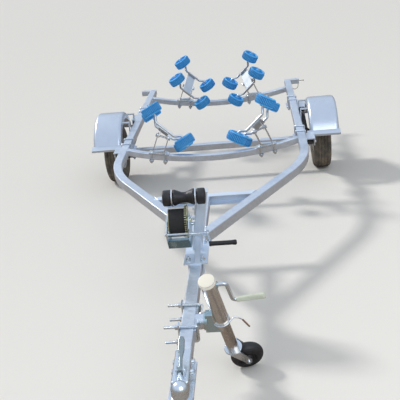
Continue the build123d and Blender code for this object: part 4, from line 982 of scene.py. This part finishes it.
APEX, BEND = 1152.0, 2163.0
SWEEP = np.arctan2(RAIL_X, BEND - APEX)
MEETING, MEETING_HALF = 1196.7, 51.3
CROSSBAR_FRONT, CROSSBAR_BACK = 1635.0, 1680.0
SOCKET = 4231.0
HALF, FRAME_LOW = TUBE / 2, FRAME_TOP - TUBE
near, far = MEETING - MEETING_HALF, MEETING + MEETING_HALF


def swept_inner(y):
    """X of the swept rail's inner face at y: the middle line's X less half the tube over cos."""
    return (y - APEX) * np.tan(SWEEP) - HALF / np.cos(SWEEP)


front_x, back_x = swept_inner(CROSSBAR_FRONT), swept_inner(CROSSBAR_BACK)
seams = []
for z in (FRAME_TOP, FRAME_LOW):
    seams.append(bead((HALF, near, z), (HALF, far, z)))
    seams.append(bead((front_x, CROSSBAR_FRONT, z), (back_x, CROSSBAR_BACK, z)))
seams.append(bead((HALF, near, FRAME_LOW), (HALF, near, FRAME_TOP)))
seams.append(bead((back_x, CROSSBAR_BACK, FRAME_LOW), (back_x, CROSSBAR_BACK, FRAME_TOP)))
for place in (FRONT_BOW, REAR_BOW):
    for y in (place - CROSS / 2, place + CROSS / 2):
        seams.append(bead((RAIL_INNER, y, FRAME_TOP - 36), (RAIL_INNER, y, FRAME_TOP - 2)))
seams.append(bead((RAIL_INNER, SOCKET, FRAME_TOP), (RAIL_INNER + TUBE, SOCKET, FRAME_TOP)))
seams.append(bead((RAIL_INNER + TUBE, SOCKET, FRAME_TOP - 40), (RAIL_INNER + TUBE, SOCKET, FRAME_TOP)))
seams += mirrored(seams)
piece("frame_welds", seams, "chassis", galvanised_frame, sharp=60)
print(len(seams), "weld beads")

# %% [markdown]
# ## Wire fittings
# Three small things are bent from round wire: the clip that holds the lamp board's pin at the
# right rear corner, the pull ring of the jack's swivel, and the keeper round the jack's collar,
# whose free end has rusted. A wire is a tube on a smooth curve through a few points.


# %% Wires
def wire(points, radius, normal, count=90, steps=10):
    """Round wire through the points by cubic pieces, each leaving a point along the slope there.
    The ring at each place is square to the path. With t the distance to the nearer end over the
    radius, at most 1, the ring's size is sqrt(1 - (1 - t)^2), which closes both ends round."""
    points = np.asarray(points, float)
    knots = run_length(points)
    slopes = np.gradient(points, knots, axis=0)
    distance = np.linspace(0, knots[-1], count)
    index = np.clip(np.searchsorted(knots, distance, side="right") - 1, 0, len(knots) - 2)
    span = (knots[index + 1] - knots[index])[:, None]
    s = (distance - knots[index])[:, None] / span
    path = (2 * s ** 3 - 3 * s ** 2 + 1) * points[index] + (s ** 3 - 2 * s ** 2 + s) * span * slopes[index]
    path += (3 * s ** 2 - 2 * s ** 3) * points[index + 1] + (s ** 3 - s ** 2) * span * slopes[index + 1]
    along = np.gradient(path, axis=0)
    side = np.cross(along, normal)
    side /= np.linalg.norm(side, axis=1, keepdims=True)
    lift = np.cross(side, along)
    lift /= np.linalg.norm(lift, axis=1, keepdims=True)
    around = np.linspace(0, 2 * np.pi, steps, endpoint=False)[:, None, None]
    taper = np.clip(np.minimum(distance, knots[-1] - distance) / radius, 0, 1)
    reach = radius * np.sqrt(1 - (1 - taper) ** 2)
    return quads(path + reach[:, None] * (np.cos(around) * side + np.sin(around) * lift), rows_meet=True)


clip = [wire([(586, 4236, 354), (590, 4238, 338), (606, 4242, 322), (630, 4246, 318), (648, 4249, 330),
              (652, 4251, 352), (652, 4251, 364)], 2.3, (0, 1, 0)),
        wire([(640, 4251, 384), (670, 4251, 384), (698, 4251, 385)], 2.2, (0, 1, 0)),
        turned(softened([(0, 0), (5, 0), (5, 9), (0, 9)], 2.0, 4), (692, 4251, 385), (1, 0, 0), 20)]
piece("lamp_clip", clip, "chassis", dark_wire, sharp=50)

ring = [wire([(34, 496, 402), (44, 494, 410), (50, 480, 413), (50, 455, 413), (47, 436, 411),
              (38, 426, 404)], 2.2, (0, 0, 1))]
piece("swivel_pull_ring", ring, "chassis", white_zinc, sharp=50)

KEEPER_RADIUS, KEEPER_LIFT = 32.5, 4
turn = np.radians([-200, -170, -140, -110, -80, -50, -20])[:, None]
bow = JACK_COLLAR + KEEPER_RADIUS * (np.cos(turn) * jack_side + np.sin(turn) * jack_back)
aside, above = np.array([[44.0], [58.0], [72.0]]), np.array([[6.0], [2.0], [-12.0]])
leaving = JACK_COLLAR + jack_side * aside + jack_up * above
keeper = np.concatenate([bow + jack_up * KEEPER_LIFT, leaving])
piece("jack_keeper", [wire(keeper, 2.6, tuple(jack_up))], "jack_tube", white_zinc, sharp=50)
keeper_end = keeper[-1] + np.array([[0, 0, 0], [8, -4, -8], [17, -8, -17], [26, -10, -27]])
piece("jack_keeper_end", [wire(keeper_end, 3.4, (0, 1, 0.2))], "jack_tube", rusty_steel, sharp=50)
print("wire fittings made")
